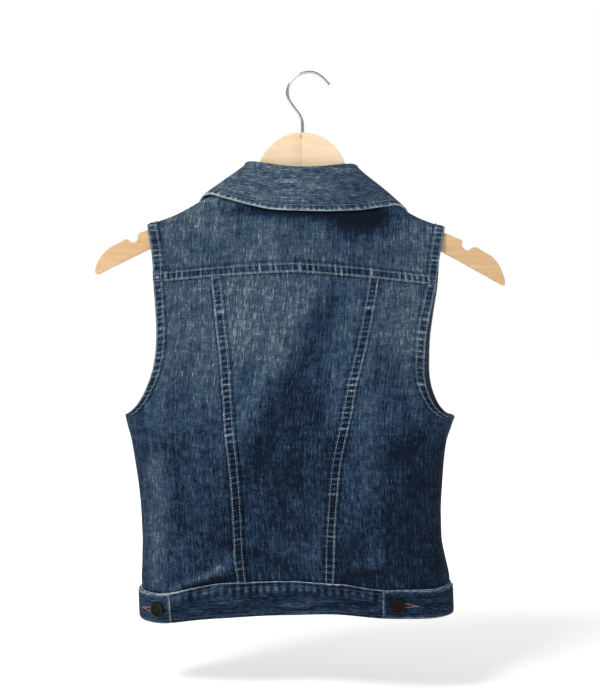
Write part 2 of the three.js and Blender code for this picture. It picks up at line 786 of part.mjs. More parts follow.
function manifoldOf(geometry) {
  const plain = geometry.clone()
  plain.deleteAttribute('normal')
  plain.deleteAttribute('uv')
  const merged = mergeVertices(plain, 1e-4)
  return new wasm.Manifold(new wasm.Mesh({
    numProp: 3,
    vertProperties: new Float32Array(merged.attributes.position.array),
    triVerts: new Uint32Array(merged.index.array),
  }))
}

function geometryOf(manifold) {
  const mesh = manifold.getMesh()
  const geometry = new THREE.BufferGeometry()
  geometry.setAttribute('position', new THREE.BufferAttribute(mesh.vertProperties, 3))
  geometry.setIndex(new THREE.BufferAttribute(mesh.triVerts, 1))
  geometry.computeVertexNormals()
  return geometry
}

// Underside of the yoke's ridge over the hanger, at a place across
function hangerTop(x) {
  let inside = x
  for (let i = 0; i < 8; i += 1) inside = x - shiftAt(shoulderAt(Math.abs(inside)))
  const ridge = hang(inside, 0, shoulderAt(Math.abs(inside))).z
  const tip = smooth((Math.abs(inside) - 120) / 42)
  return ridge - HANGER_BELOW_RIDGE - HANGER_TIP_DROP * tip
}

// Ends of the hanger's arms beyond the shoulders, top edge first, notches included
const leftArm = [
  { x: -183.7, z: -173 },
  { x: -186.1, z: -176.5 },
  { x: -186.8, z: -181.4 },
  { x: -190.6, z: -183.8 },
  { x: -194.1, z: -183.1 },
  { x: -198.2, z: -180.6 },
  { x: -207.9, z: -184.9 },
  { x: -216.3, z: -189.6 },
  { x: -223.9, z: -196.6 },
  { x: -228.9, z: -204 },
  { x: -232, z: -213 },
  { x: -232.3, z: -217 },
  { x: -229.8, z: -218.6 },
  { x: -226.7, z: -217.4 },
]
const rightArm = [
  { x: 164.7, z: -181.4 },
  { x: 166.1, z: -183.8 },
  { x: 165.2, z: -187 },
  { x: 168.9, z: -191.7 },
  { x: 172, z: -193.1 },
  { x: 175.2, z: -190.4 },
  { x: 180, z: -189.3 },
  { x: 189.7, z: -194.5 },
  { x: 198.8, z: -200.1 },
  { x: 205.6, z: -208.4 },
  { x: 210.5, z: -219.6 },
  { x: 212.3, z: -228.5 },
  { x: 211.6, z: -230.7 },
  { x: 209.4, z: -230.3 },
]
const lowerEdge = [
  { x: 141.1, z: -192.5 },
  { x: 105, z: -174.5 },
  { x: 62, z: -158 },
  { x: 20, z: -152.5 },
  { x: -30, z: -151 },
  { x: -75, z: -154.5 },
  { x: -125, z: -170 },
  { x: -175, z: -191.7 },
]

function hangerWood() {
  const onHead = (angle) => ({
    x: HEAD_CENTRE.x + HEAD_RADIUS * Math.sin(angle),
    z: HEAD_CENTRE.z + HEAD_RADIUS * Math.cos(angle),
  })
  const left = [...evenly(-176, -76, 10).map((x) => ({ x, z: hangerTop(x) })), { x: -65, z: -123 }]
  const right = [{ x: 46, z: -126 }, ...evenly(64, 147, 10).map((x) => ({ x, z: hangerTop(x) }))]
  const head = evenly(-86 * RADIANS, 86 * RADIANS, 22).map(onHead)
  const under = new THREE.SplineCurve(
    [rightArm.at(-1), ...lowerEdge, leftArm.at(-1)].map((p) => new THREE.Vector2(p.x, p.z)))
  const outline = [...leftArm.slice(0, -1).reverse(), ...left, ...head, ...right, ...rightArm]
    .map((p) => new THREE.Vector2(p.x, p.z))
  const points = [...outline, ...under.getPoints(26).slice(1)]
  const body = new THREE.ExtrudeGeometry(new THREE.Shape(points), {
    depth: HANGER_THICKNESS - 2 * HANGER_EDGE,
    bevelThickness: HANGER_EDGE,
    bevelSize: HANGER_EDGE,
    bevelOffset: -HANGER_EDGE,
    bevelSegments: 2,
  })
  body.rotateX(QUARTER).translate(0, HANGER_THICKNESS / 2 - HANGER_EDGE, 0)
  const top = HEAD_CENTRE.z + HEAD_RADIUS
  const bore = new THREE.CylinderGeometry(BORE_RADIUS, BORE_RADIUS, BORE_DEPTH + 4, 16)
  bore.rotateX(QUARTER).translate(hookPath.at(-1).x, 0, top - BORE_DEPTH / 2 + 2)
  return geometryOf(manifoldOf(body).subtract(manifoldOf(bore)))
}

const hookPath = [
  { x: 21.7, z: -12.4 },
  { x: 17.7, z: -8.1 },
  { x: 12.6, z: -3.2 },
  { x: 4.4, z: 1.2 },
  { x: -3.2, z: 1.5 },
  { x: -11.3, z: -1 },
  { x: -18.2, z: -6.6 },
  { x: -22.5, z: -13.9 },
  { x: -24, z: -20.7 },
  { x: -22.3, z: -28.4 },
  { x: -17.2, z: -36.6 },
  { x: -11.4, z: -44.1 },
  { x: -8, z: -51.7 },
  { x: -7.4, z: -58.6 },
  { x: -7.4, z: -66 },
  { x: -7.4, z: -78.3 },
]

function hangerHook() {
  const points = hookPath.map((p) => new THREE.Vector3(p.x, 0, p.z))
  const path = new THREE.CatmullRomCurve3(points, false, 'centripetal')
  const circle = new THREE.Shape()
  circle.absarc(0, 0, WIRE_RADIUS, 0, 2 * Math.PI)
  return new THREE.ExtrudeGeometry(circle, { steps: 54, curveSegments: 6, extrudePath: path })
}

const DENIM = { color: 0x3d5878, roughness: 0.92, metalness: 0 }
const WOOD = { color: 0xe0bd88, roughness: 0.55, metalness: 0 }
const CHROME = { color: 0xc9ccd0, roughness: 0.18, metalness: 1 }
const DARK_METAL = { color: 0x241f1c, roughness: 0.45, metalness: 0.7 }

const group = new THREE.Group()

function add(name, geometry, look) {
  const mesh = new THREE.Mesh(geometry, new THREE.MeshStandardMaterial(look))
  mesh.name = name
  group.add(mesh)
  return mesh
}

// Seats a button on the cloth, a seam gap above its outermost layer
function addButton(name, seat, lift) {
  const normal = outward(seat)
  const mesh = add(name, buttonGeometry(), DARK_METAL)
  mesh.position.copy(moved(seat, lift + SEAM_GAP))
  mesh.quaternion.setFromUnitVectors(new THREE.Vector3(0, 0, 1), normal)
}

add('hanger_wood', hangerWood(), WOOD)
add('hanger_hook', hangerHook(), CHROME)
add('back_yoke', backYoke(), DENIM)
add('centre_back', centreBack(), DENIM)
add('side_back_left', sideBack(-1), DENIM)
add('side_back_right', sideBack(1), DENIM)
add('front_left', front(-1), DENIM)
add('front_right', front(1), DENIM)
add('collar', collar(), DENIM)
add('waistband_back', waistbandBack(), DENIM)
add('waistband_front_left', waistbandFront(-1), DENIM)
add('waistband_front_right', waistbandFront(1), DENIM)
for (const tab of tabs) {
  add(`tab_${tab.name}`, waistTab(tab), DENIM)
  const angle = angleAt(tab.side * tab.button, -570, -1)
  const z = (bandTop(angle) + bandBottom(angle)) / 2
  addButton(`tab_button_${tab.name}`, spotAt(angle, z), TAB_LIFT + TAB_WALL + 0.5)
}

const FRONT_BUTTONS = 5
for (let i = 0; i < FRONT_BUTTONS; i += 1) {
  const z = mix(-196, -520, i / (FRONT_BUTTONS - 1))
  addButton(`front_button_${i + 1}`, spot(1e-6, z, 1), WELT_RISE)
}
addButton('waistband_button', spot(1e-6, -570.5, 1), BAND_OUT)

export default group
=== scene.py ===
import math
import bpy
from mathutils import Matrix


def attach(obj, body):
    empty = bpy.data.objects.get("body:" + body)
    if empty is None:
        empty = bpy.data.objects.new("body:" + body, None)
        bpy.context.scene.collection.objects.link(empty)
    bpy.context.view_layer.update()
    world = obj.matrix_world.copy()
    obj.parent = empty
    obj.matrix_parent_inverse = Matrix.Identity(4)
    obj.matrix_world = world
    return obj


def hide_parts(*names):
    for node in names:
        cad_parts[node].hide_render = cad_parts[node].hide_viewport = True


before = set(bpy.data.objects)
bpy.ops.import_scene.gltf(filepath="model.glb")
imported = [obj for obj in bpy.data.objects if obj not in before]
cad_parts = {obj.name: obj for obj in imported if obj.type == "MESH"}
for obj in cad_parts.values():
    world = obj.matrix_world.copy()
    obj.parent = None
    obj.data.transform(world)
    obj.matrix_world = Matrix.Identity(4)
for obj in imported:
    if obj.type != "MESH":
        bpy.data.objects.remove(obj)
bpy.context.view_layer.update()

from types import SimpleNamespace

import bmesh
import bpy
import numpy as np
from bpy.props import FloatProperty, FloatVectorProperty, PointerProperty
from mathutils import Matrix, Vector

bl_info = {
    "name": "Denim vest on a wooden hanger",
    "version": (1, 0, 0),
    "blender": (4, 5, 0),
    "location": "View3D > Sidebar > Denim vest",
    "description": "Dresses the frame of a hung denim vest with its cloth, sewing, buttons and hanger",
    "category": "Object",
}

MM = 0.001

# Garment sizes in millimetres, X to the right seen from the back, Y to the wearer's front, Z up
ROUNDNESS = 2.6
RIDGE_HALF = 9.0
RIDGE_FALL = 7.0
RIDGE_WAY = RIDGE_FALL * math.pi / 2
SHOULDER_ROUNDING = 110.0
SHOULDER_TIP = 161.6
SHOULDER_TIP_Z = -166.0
NECK_HALF = 62.0
NECK_SIDE_Z = -114.0
BACK_NECK_DROP = 11.0
FRONT_NECK_DROP = 61.0
ARMPIT_Z = -372.0
PRINCESS_TOP_Z = -215.0
BODY_LOW_Z = -560.0
BAND_MIDDLE_Z = -570.0
YOKE_CENTRE_Z = -218.5
YOKE_SIDE_DROP = 11.5
YOKE_END = 152.0
FRONT_OVERLAP = 17.0
FRONT_ARMHOLE_EASE = 3.0
FRONT_LOW_Z = -553.0
PLACKET_TOP_Z = -165.0
PLACKET_SEWING_TOP_Z = -205.0
WELT_RISE = 1.2
WELT_WIDTH = 11.0
WELT_STEP = 0.9
FRONT_EDGE_WIDTH = 34.0
HALF_GAP = 0.04
PUCKER_PITCH = 6.3
NOISE_VALUES = 4096
NOISE_START = 1000
STITCH_LIFT = 0.1
STITCH_HALF_SHARE = 0.42
COLLAR_WALL = 2.0
WAISTBAND_WALL = 3.2
TAB_WALL = 2.0
GRAIN_Z = -477.0
GRAIN_DEPTH = 48.0
FRONT_GRAIN_SHIFT = 170.0
SIDES = ((-1, "left"), (1, "right"))


def table(columns, *rows):
    """Rows of numbers as records with named columns."""
    names = columns.split()
    return [dict(zip(names, row)) for row in rows]


RINGS = table(
    "z half back front",
    (-60, 179, 46, 46), (-230, 179, 48, 50), (-372, 179, 51, 54), (-399, 172.5, 50, 53),
    (-427, 168.7, 48, 51), (-477, 164.8, 46, 50), (-502, 164.6, 46, 50), (-527, 166.7, 48, 52),
    (-549, 169, 51, 54), (-610, 169, 48, 54),
)
SHOULDER = table(
    "x z",
    (0, -92), (30, -99), (62, -114), (84, -127.5), (106, -140.5), (118, -148), (131, -155),
    (146, -161), (161.6, -166), (180, -169),
)
ARMHOLE = table(
    "x z",
    (161.6, -166), (155, -203), (152, -230), (148.3, -253), (145.2, -278), (144.5, -303),
    (147.1, -328), (153.5, -347), (162, -361), (172, -369.5), (179, -372),
)
PRINCESS = table(
    "z left right",
    (-215, 88, 91), (-278, 78, 85), (-331, 68, 78), (-377, 61, 73.5), (-427, 57.5, 64),
    (-477, 57.5, 58), (-527, 57.5, 53), (-560, 56, 50),
)
SIDE_SEAMS = table("z left right", (-372, 90, 90), (-560, 97, 88), (-600, 98, 88))
BAND = table(
    "angle top bottom",
    (-180, -553, -588), (-120, -554, -588), (-90, -556, -588), (-52, -561, -594),
    (-24, -550.5, -587), (0, -548.5, -585), (18, -549.5, -582), (36, -555.5, -585.5),
    (56, -556, -587), (90, -552, -585), (180, -553, -588),
)
HANGING = table(
    "z shift turn tilt",
    (-90, -8.5, 0, 1.4), (-118, -9.5, 0, 1.4), (-145, -12, 0, 1), (-166, -14.4, 0, 0.5),
    (-190, -14.7, 0.6, 0.6), (-215, -14.9, 2.3, 0.7), (-303, -18, 6, 0.4), (-346, -21.6, 7.4, 0.3),
    (-399, -24, 8.6, 0.2), (-452, -22.5, 9.5, 0), (-502, -20.8, 10, -0.5), (-549, -17, 10, -1.2),
    (-610, -15, 10, -1.2),
)
# Lines on the cloth with a width and a depth, inwards where positive: first the largest folds.
# The face is -1 on the back and 1 on the front, here and in the tables below.
FOLDS = table(
    "face x0 z0 x1 z1 width depth",
    (-1, -8, -600, -12, -500, 62, 24),
    (-1, 52, -240, -38, -450, 34, 5),
    (-1, -120, -600, -70, -545, 16, 4),
    (-1, -128, -400, -120, -500, 18, -3),
    (-1, 128, -400, 120, -540, 20, 4),
    (1, 60, -260, 30, -540, 34, 6),
    (1, -70, -280, -40, -530, 30, 5),
    (1, 120, -420, 110, -590, 20, 4),
    (1, -118, -430, -112, -590, 20, 4),
)
# The finer creases also paint shade in their troughs and light on their ridges, in panel_piece.
CREASES = table(
    "face x0 z0 x1 z1 width depth",
    (-1, -106, -556, -56, -544, 6, 4.0),
    (-1, -126, -558, -72, -535, 5, -3.6),
    (-1, -72, -536, -54, -522, 6, -1.8),
    (-1, 44, -245, -34, -440, 13, 2.2),
    (-1, 16, -240, -56, -400, 13, -1.4),
    (-1, 62, -330, 30, -470, 14, -1.2),
    (-1, -30, -520, 10, -545, 8, 2.0),
    (-1, 0, -510, 30, -520, 9, -1.2),
    (-1, 62, -546, 104, -538, 6, 1.8),
    (-1, 70, -530, 112, -520, 8, -1.0),
    (-1, 100, -470, 60, -530, 12, 1.4),
    (-1, 78, -440, 96, -520, 10, -1.0),
    (-1, -20, -330, 20, -290, 12, -1.0),
    (-1, -60, -250, -20, -262, 14, 0.9),
    (-1, 96, -300, 120, -350, 10, 1.2),
    (-1, -100, -300, -118, -360, 10, 1.0),
    (-1, -116, -420, -112, -490, 8, 1.8),
    (-1, -140, -420, -136, -520, 10, -0.5),
    (-1, -150, -392, -112, -412, 8, 1.2),
    (-1, 152, -390, 112, -420, 8, 1.5),
    (-1, -90, -500, -60, -512, 7, 0.9),
    (-1, -70, -480, -40, -540, 12, 1.2),
    (-1, -96, -240, -70, -236, 9, -0.7),
    (-1, 70, -205, 118, -196, 10, 0.8),
    (-1, -110, -190, -70, -206, 10, 0.8),
    (1, -90, -300, -60, -360, 12, 1.4),
    (1, 90, -310, 66, -380, 12, 1.4),
    (1, -130, -430, -96, -452, 9, 1.6),
    (1, 132, -420, 100, -446, 9, 1.6),
    (1, 40, -490, 70, -545, 9, 2.0),
    (1, -44, -500, -80, -548, 9, 1.8),
    (1, -100, -548, -60, -540, 6, 2.4),
    (1, 56, -546, 100, -536, 6, -2.2),
    (1, 96, -230, 70, -262, 12, -1.0),
    (1, -100, -226, -78, -258, 12, -1.0),
)
COLLAR = table(
    "face neck foldX foldY foldZ leftX leftZ leftLift rightX rightZ rightLift",
    (-1, 0, 0, -21, -104.5, -4, -153, 2.4, 4, -153, 2.4),
    (-1, 20, 21, -20, -103.3, 30, -151.5, 2.6, 38, -152.5, 2.4),
    (-1, 40, 41, -16, -100.5, 57, -146, 4, 70, -149.5, 2.4),
    (-1, 54, 54, -10, -98.8, 80, -139.5, 5, 93, -144.5, 2.4),
    (-1, 60.5, 58.5, -4, -99, 98, -137.5, 4.5, 108, -144, 2.6),
    (1, 62, 60, 3, -99.5, 107, -144, 4, 119, -151, 2.8),
    (1, 61, 60, 12, -101, 111, -162, 3.4, 120, -168, 2.6),
    (1, 56, 57, 23, -110, 104, -188, 2.6, 108, -190, 2.6),
    (1, 44, 47, 34, -126, 90, -208, 2.6, 91, -208, 2.6),
    (1, 26, 30, 42, -144, 70, -224, 2.6, 70, -224, 2.6),
    (1, 5, 8, 47, -156, 44, -212, 2.6, 44, -212, 2.6),
)
# Where washing has lightened the cloth and where it stayed dark, in the hung frame, with patches of
# painted shade and light among the rows
WASH_BELOW = 0.22
WASH_RISE = 0.31
WASH_RISE_Z = -420
WASH_RISE_HEIGHT = 130
WASH_AND_SHADE_PATCHES = table(
    "face x z rx rz amount",
    (-1, -65, -262, 34, 40, 0.10),
    (-1, 20, -200, 60, 26, -0.04),
    # painted shade along the trough of the large diagonal fold on the back
    (-1, 45, -245, 22, 40, -0.12),
    (-1, 25, -305, 26, 40, -0.14),
    (-1, 5, -365, 22, 36, -0.22),
    (-1, -8, -430, 38, 44, -0.16),
    (-1, -25, -490, 34, 46, -0.08),
    (-1, 80, -290, 18, 50, -0.06),
    (-1, 112, -330, 16, 40, 0.06),
    # painted light on the flank to the right of that trough
    (-1, 60, -400, 14, 60, 0.10),
    (-1, 62, -450, 14, 60, 0.08),
    (-1, -30, -335, 90, 34, -0.09),
    (-1, -37, -333, 22, 28, -0.08),
    (-1, -5, -270, 20, 26, -0.12),
    (-1, -10, -172, 56, 18, -0.09),
    (-1, -37, -203, 26, 14, 0.07),
    (-1, 125, -203, 14, 14, 0.08),
    (-1, -135, -560, 20, 16, -0.10),
    (-1, -142, -425, 26, 55, 0.10),
    (-1, 106, -258, 20, 40, 0.09),
    (-1, -131, -262, 22, 36, -0.06),
    # painted shadow below the collar's edge on the yoke
    (-1, 48, -186, 30, 12, -0.09),
    (-1, -158, -540, 22, 40, 0.12),
    (-1, 44, -530, 34, 26, -0.12),
    (-1, 70, -500, 46, 30, -0.06),
    (-1, -166, -470, 12, 110, 0.22),
    (-1, -130, -340, 30, 40, 0.05),
    # painted shade on the lower right of the back, where the cloth turns away from the light
    (-1, 118, -470, 40, 120, -0.22),
    (-1, 60, -570, 34, 40, -0.12),
    # painted shadow cast by the collar's lifted edge onto the yoke
    (-1, 56, -160, 32, 17, -0.85),
    (-1, 20, -152, 60, 9, -0.60),
    (-1, -40, -150, 50, 7, -0.50),
    (1, -84, -250, 60, 70, 0.05),
    (1, 66, -275, 56, 80, 0.04),
    (1, 20, -380, 26, 90, -0.06),
    (1, -90, -420, 40, 90, 0.06),
    (1, 60, -420, 40, 90, 0.06),
)


def mix(a, b, t):
    return a + (b - a) * t


def smooth(t):
    k = np.clip(t, 0, 1)
    return k * k * (3 - 2 * k)


def bell(distance, spread):
    """One at no distance, falling away smoothly on both sides."""
    return np.exp(-((distance / spread) ** 2))


def track(rows, key, column):
    """A curve through a table's rows that never overshoots them."""
    rows = sorted(rows, key=lambda row: row[key])
    xs = np.array([row[key] for row in rows], float)
    ys = np.array([row[column] for row in rows], float)
    rises = np.diff(ys) / np.diff(xs)
    before = np.concatenate([rises[:1], rises])
    after = np.concatenate([rises, rises[-1:]])
    total = np.where(before * after > 0, before + after, 1)
    slopes = np.where(before * after > 0, 2 * before * after / total, 0)

    def read(at):
        x = np.clip(at, xs[0], xs[-1])
        i = np.clip(np.searchsorted(xs, x) - 1, 0, len(xs) - 2)
        step = xs[i + 1] - xs[i]
        t = (x - xs[i]) / step
        rise = ys[i + 1] - ys[i]
        start = slopes[i] * step
        end = slopes[i + 1] * step
        return ys[i] + t * (start + t * (3 * rise - 2 * start - end + t * (start + end - 2 * rise)))

    return read


half_at = track(RINGS, "z", "half")
back_at = track(RINGS, "z", "back")
front_at = track(RINGS, "z", "front")
shoulder_at = track(SHOULDER, "x", "z")
shift_at = track(HANGING, "z", "shift")
turn_at = track(HANGING, "z", "turn")
tilt_at = track(HANGING, "z", "tilt")
band_top_at = track(BAND, "angle", "top")
band_bottom_at = track(BAND, "angle", "bottom")
seam_at = {-1: track(SIDE_SEAMS, "z", "left"), 1: track(SIDE_SEAMS, "z", "right")}
princess_at = {-1: track(PRINCESS, "z", "left"), 1: track(PRINCESS, "z", "right")}


def wrapped(angle):
    """Angles past the centre front, as the lap's are, brought back into the table's range."""
    return np.where(angle > math.pi, angle - 2 * math.pi, angle)


def band_top(angle):
    return band_top_at(np.degrees(wrapped(angle)))


def band_bottom(angle):
    return band_bottom_at(np.degrees(wrapped(angle)))


def hang(x, y, z):
    """Moves points of the level garment to where it hangs."""
    turn = np.radians(turn_at(z))
    across = x * np.cos(turn) + y * np.sin(turn)
    away = y * np.cos(turn) - x * np.sin(turn)
    return np.stack([across + shift_at(z), away, z - x * np.sin(np.radians(tilt_at(z)))], -1)


def fold_depth(folds, x, z, face):
    """How deep lines on the cloth press it in."""
    depth = np.zeros_like(x)
    for fold in folds:
        run = np.array([fold["x1"] - fold["x0"], fold["z1"] - fold["z0"]])
        along = ((x - fold["x0"]) * run[0] + (z - fold["z0"]) * run[1]) / (run @ run)
        along = np.clip(along, 0, 1)
        off = np.hypot(x - fold["x0"] - along * run[0], z - fold["z0"] - along * run[1])
        depth += np.where(face == fold["face"], fold["depth"] * bell(off, fold["width"]), 0)
    return depth


def width_across(angle, z):
    """Place across the body at an angle round it, and the share of the depth there."""
    s = np.sin(angle)
    c = np.cos(angle)
    reach = (np.abs(s) ** ROUNDNESS + np.abs(c) ** ROUNDNESS) ** (-1 / ROUNDNESS)
    return half_at(z) * reach * s, reach * np.abs(c)


def surface(angle, z):
    """Outer face of the garment at angles round the body and heights."""
    face = np.where(np.cos(angle) > 0, -1, 1)
    x, depth = width_across(angle, z)
    drop = np.maximum(shoulder_at(np.abs(x)) - z, 0)
    cap = RIDGE_HALF * np.sqrt(1 - (1 - np.minimum(drop / RIDGE_FALL, 1)) ** 2)
    opened = smooth(drop / SHOULDER_ROUNDING)
    rounded = depth * np.where(face < 0, back_at(z), front_at(z))
    folded = opened * np.sqrt(depth) * fold_depth(FOLDS + CREASES, x, z, face)
    return hang(x, face * (mix(cap, rounded, opened) - folded), z)


def ridge_above(angle):
    return shoulder_at(np.abs(width_across(angle, RINGS[0]["z"])[0]))


def height_of(angle, way):
    """Height of a place that lies a way down over the shoulder's rounded ridge."""
    rounded = RIDGE_FALL * (1 - np.cos(np.minimum(way / RIDGE_FALL, math.pi / 2)))
    return ridge_above(angle) - np.where(way < RIDGE_WAY, rounded, way - RIDGE_WAY + RIDGE_FALL)


def way_down(angle, z):
    """The way over the ridge and down to a height: the reverse of height_of."""
    drop = np.maximum(ridge_above(angle) - z, 0)
    rounded = RIDGE_FALL * np.arccos(np.clip(1 - drop / RIDGE_FALL, -1, 1))
    return np.where(drop < RIDGE_FALL, rounded, drop + RIDGE_WAY - RIDGE_FALL)


def place(angle, way):
    return surface(angle, height_of(angle, way))


def unit(v):
    return v / np.maximum(np.linalg.norm(v, axis=-1, keepdims=True), 1e-9)


def outward(angle, way):
    """The cloth's normal, from two short steps on its surface."""
    start = place(angle, way)
    across = place(angle + 0.002, way) - start
    down = place(angle, way + 0.05) - start
    return unit(np.cross(down, across))


def angle_at(x, z, face):
    """The angle round the body at which the cloth lies at x."""
    share = np.minimum(np.abs(x) / half_at(z), 1)
    angle = np.arctan2(share, (1 - share**ROUNDNESS) ** (1 / ROUNDNESS))
    return np.sign(x) * np.where(face < 0, angle, math.pi - angle)


def spots(x, z, face):
    """Places on the cloth, as rows of angle and way down, from their x and z."""
    x = np.atleast_1d(np.asarray(x, float))
    z = np.broadcast_to(np.asarray(z, float), x.shape)
    angle = angle_at(np.where(x == 0, 1e-6, x), z, face)
    return np.stack([angle, way_down(angle, z)], -1)


def spots_at(angle, z):
    angle = np.atleast_1d(np.asarray(angle, float))
    return np.stack([angle, way_down(angle, z)], -1)


def parted(places):
    """The angles and the ways down of spots."""
    return places[..., 0], places[..., 1]


def lengths_along(points):
    """Lengths run along lines of points, from nought at their starts."""
    steps = np.linalg.norm(np.diff(points, axis=0), axis=-1)
    return np.concatenate([np.zeros_like(steps[:1]), np.cumsum(steps, axis=0)])


def route(places):
    """A route on the cloth read by its share of the length."""
    lengths = lengths_along(place(*parted(places)))
    shares = lengths / lengths[-1]

    def read(t):
        return np.stack([np.interp(t, shares, places[:, k]) for k in (0, 1)], -1)

    read.span = lengths[-1]
    return read


def patch_of(bottom, top, low, high):
    """A patch of cloth between four routes."""
    low0, low1, high0, high1 = low(0), low(1), high(0), high(1)

    def read(u, v):
        us = np.asarray(u)[..., None]
        vs = np.asarray(v)[..., None]
        sides = mix(bottom(u), top(u), vs) + mix(low(v), high(v), us)
        return sides - mix(mix(low0, low1, vs), mix(high0, high1, vs), us)

    return read


def lay_out(patch, across, along):
    """Rows and columns on a patch at true distances from its edges."""
    heights = 1 - (1 - np.linspace(0, 1, 90)) ** 2
    widths = np.linspace(0, 1, 70)
    spot = patch(*np.meshgrid(widths, heights))
    points = place(*parted(spot))
    row_lengths = lengths_along(points.swapaxes(0, 1)).T
    goals = np.stack([across(total) for total in row_lengths[:, -1]])
    shares = np.stack([np.interp(goals[h], row_lengths[h], widths) for h in range(len(heights))])
    spot = patch(shares, np.repeat(heights[:, None], shares.shape[1], 1))
    ways = lengths_along(place(*parted(spot)))
    u, v, low, high, bottom, top = [], [], [], [], [], []
    for c in range(shares.shape[1]):
        goal = along(ways[-1, c])
        v.append(np.interp(goal, ways[:, c], heights))
        u.append(np.interp(v[-1], heights, shares[:, c]))
        low.append(np.interp(v[-1], heights, goals[:, c]))
        high.append(np.interp(v[-1], heights, row_lengths[:, -1] - goals[:, c]))
        bottom.append(goal)
        top.append(ways[-1, c] - goal)
    spot = patch(np.array(u), np.array(v))
    sides = {"low": low, "high": high, "bottom": bottom, "top": top}
    angle, way = parted(spot)
    sides = {name: np.array(rows) for name, rows in sides.items()}
    return SimpleNamespace(angle=angle, way=way, **sides)


def stops(near, far, *shares):
    """Distances along a length: close stops at both ends, even steps between them."""

    def read(length):
        marks = [near[-1], *[share * length for share, _ in shares[:-1]], length - far[-1]]
        middle = [np.linspace(marks[i], marks[i + 1], n + 1)[1:] for i, (_, n) in enumerate(shares)]
        return np.concatenate([near, *middle, length - np.array(far[::-1][1:])])

    return read


# Close stops of columns and rows at an edge, in millimetres from it
HEMMED = [
    HALF_GAP, 0.9, 1.8, 3, 4.2, 5.4, 6.6, 7.8, 9, 10.2, WELT_WIDTH, WELT_WIDTH + WELT_STEP, 13.4]
PLAIN = [HALF_GAP, 0.9, 1.8, 3.2]
RIDGED = [HALF_GAP, 1, 2, 3, 4.2, 5.4, 6.8, 8.2, 9.6, 11.5, 13.5]
PLACKET = [HALF_GAP, 1, 2, 3.5, 6, 10, 15, 20, 25, 29, 31.5, 33, FRONT_EDGE_WIDTH, 34.9, 36.5]
# Which of those stops the twin rows of stitches follow, from the near and from the far edge
TWIN_ROWS = (2, 8)
FAR_TWIN_ROWS = (-3, -9)
PLACKET_ROWS = (2, 10)


# In the functions below, distances, spreads and reliefs are in millimetres, and wear with painted shade
# is added to
# the washing: the cloth is paler where it is above nought and darker where it is below.


def noise(seed, at, pitch):
    """Smooth one-way noise between -1 and 1, the same each run."""
    values = np.random.default_rng(seed).uniform(-1, 1, NOISE_VALUES)
    x = np.asarray(at) / pitch + NOISE_START
    i = np.floor(x).astype(int)
    return mix(values[i % NOISE_VALUES], values[(i + 1) % NOISE_VALUES], smooth(x - i))


def pucker(run, seed):
    """Gathers along a seam, uneven in pitch and depth, from 0 in a dip to 1 on a crest."""
    phase = run / PUCKER_PITCH + 0.5 * noise(seed, run, 19)
    return (0.5 + 0.5 * np.cos(2 * math.pi * phase)) * (0.76 + 0.24 * noise(seed + 1, run, 8))


def strip(distance, run, seed, width=WELT_WIDTH):
    """Relief, wear and painted shade of a lapped or turned strip: a soft edge, two stitched channels,
    gathers, and a painted shadow line beyond its edge.
    """
    on = 1 - smooth((distance - width) / WELT_STEP)
    from_stitches = np.minimum(distance, width - distance) - 4.5
    middle = bell(from_stitches, 3.5)
    edge = bell(distance, 1.1)
    channels = bell(distance - 1.9, 0.8) + bell(distance - width + 2.2, 0.8)
    gather = pucker(run, seed)
    beyond = bell(distance - width - 2, 3.2)
    relief = on * (WELT_RISE - 0.7 * edge - 0.4 * channels + 0.8 * middle * (gather - 0.5))
    relief = relief + 0.4 * beyond * (gather - 0.5)
    # painted shadow: a dark line just beyond the strip's edge
    edge_shadow = bell(distance - width - 1.2, 1.2)
    rim = bell(distance, 1.7) + 0.7 * bell(distance - width + 0.4, 1.0)
    dark = 0.46 * bell(from_stitches, 7)
    wear_and_shade = on * (0.85 * rim + 1.9 * middle * (gather**1.6 - 0.24) - dark)
    wear_and_shade = wear_and_shade + 0.4 * beyond * (gather - 0.5) - 0.55 * edge_shadow
    return relief, wear_and_shade


def wash_and_shade_at(points, face):
    """How far washing has faded the cloth: more above the waist, and patch by patch, some patches being
    painted shade and light.
    """
    x, z = points[..., 0], points[..., 2]
    amount = WASH_BELOW + WASH_RISE * smooth((z - WASH_RISE_Z) / WASH_RISE_HEIGHT)
    for row in WASH_AND_SHADE_PATCHES:
        near = bell(x - row["x"], row["rx"]) * bell(z - row["z"], row["rz"])
        amount = amount + np.where(face == row["face"], row["amount"] * near, 0)
    return amount


RING_ANGLES = np.linspace(-math.pi, 2 * math.pi, 720)
RING_WIDTHS, RING_DEPTHS = width_across(RING_ANGLES, GRAIN_Z)
RING_ARCS = lengths_along(
    np.stack([RING_WIDTHS, np.sign(np.cos(RING_ANGLES)) * RING_DEPTHS * GRAIN_DEPTH], -1))


def arc_of(angle, z):
    """Distance round the body from the centre back or front, for the run of the cloth's grain."""
    centre = np.where(np.cos(angle) > 0, 0, np.where(angle > 0, math.pi, -math.pi))
    ring = np.interp(angle, RING_ANGLES, RING_ARCS) - np.interp(centre, RING_ANGLES, RING_ARCS)
    return ring * half_at(z) / half_at(GRAIN_Z) + FRONT_GRAIN_SHIFT * centre


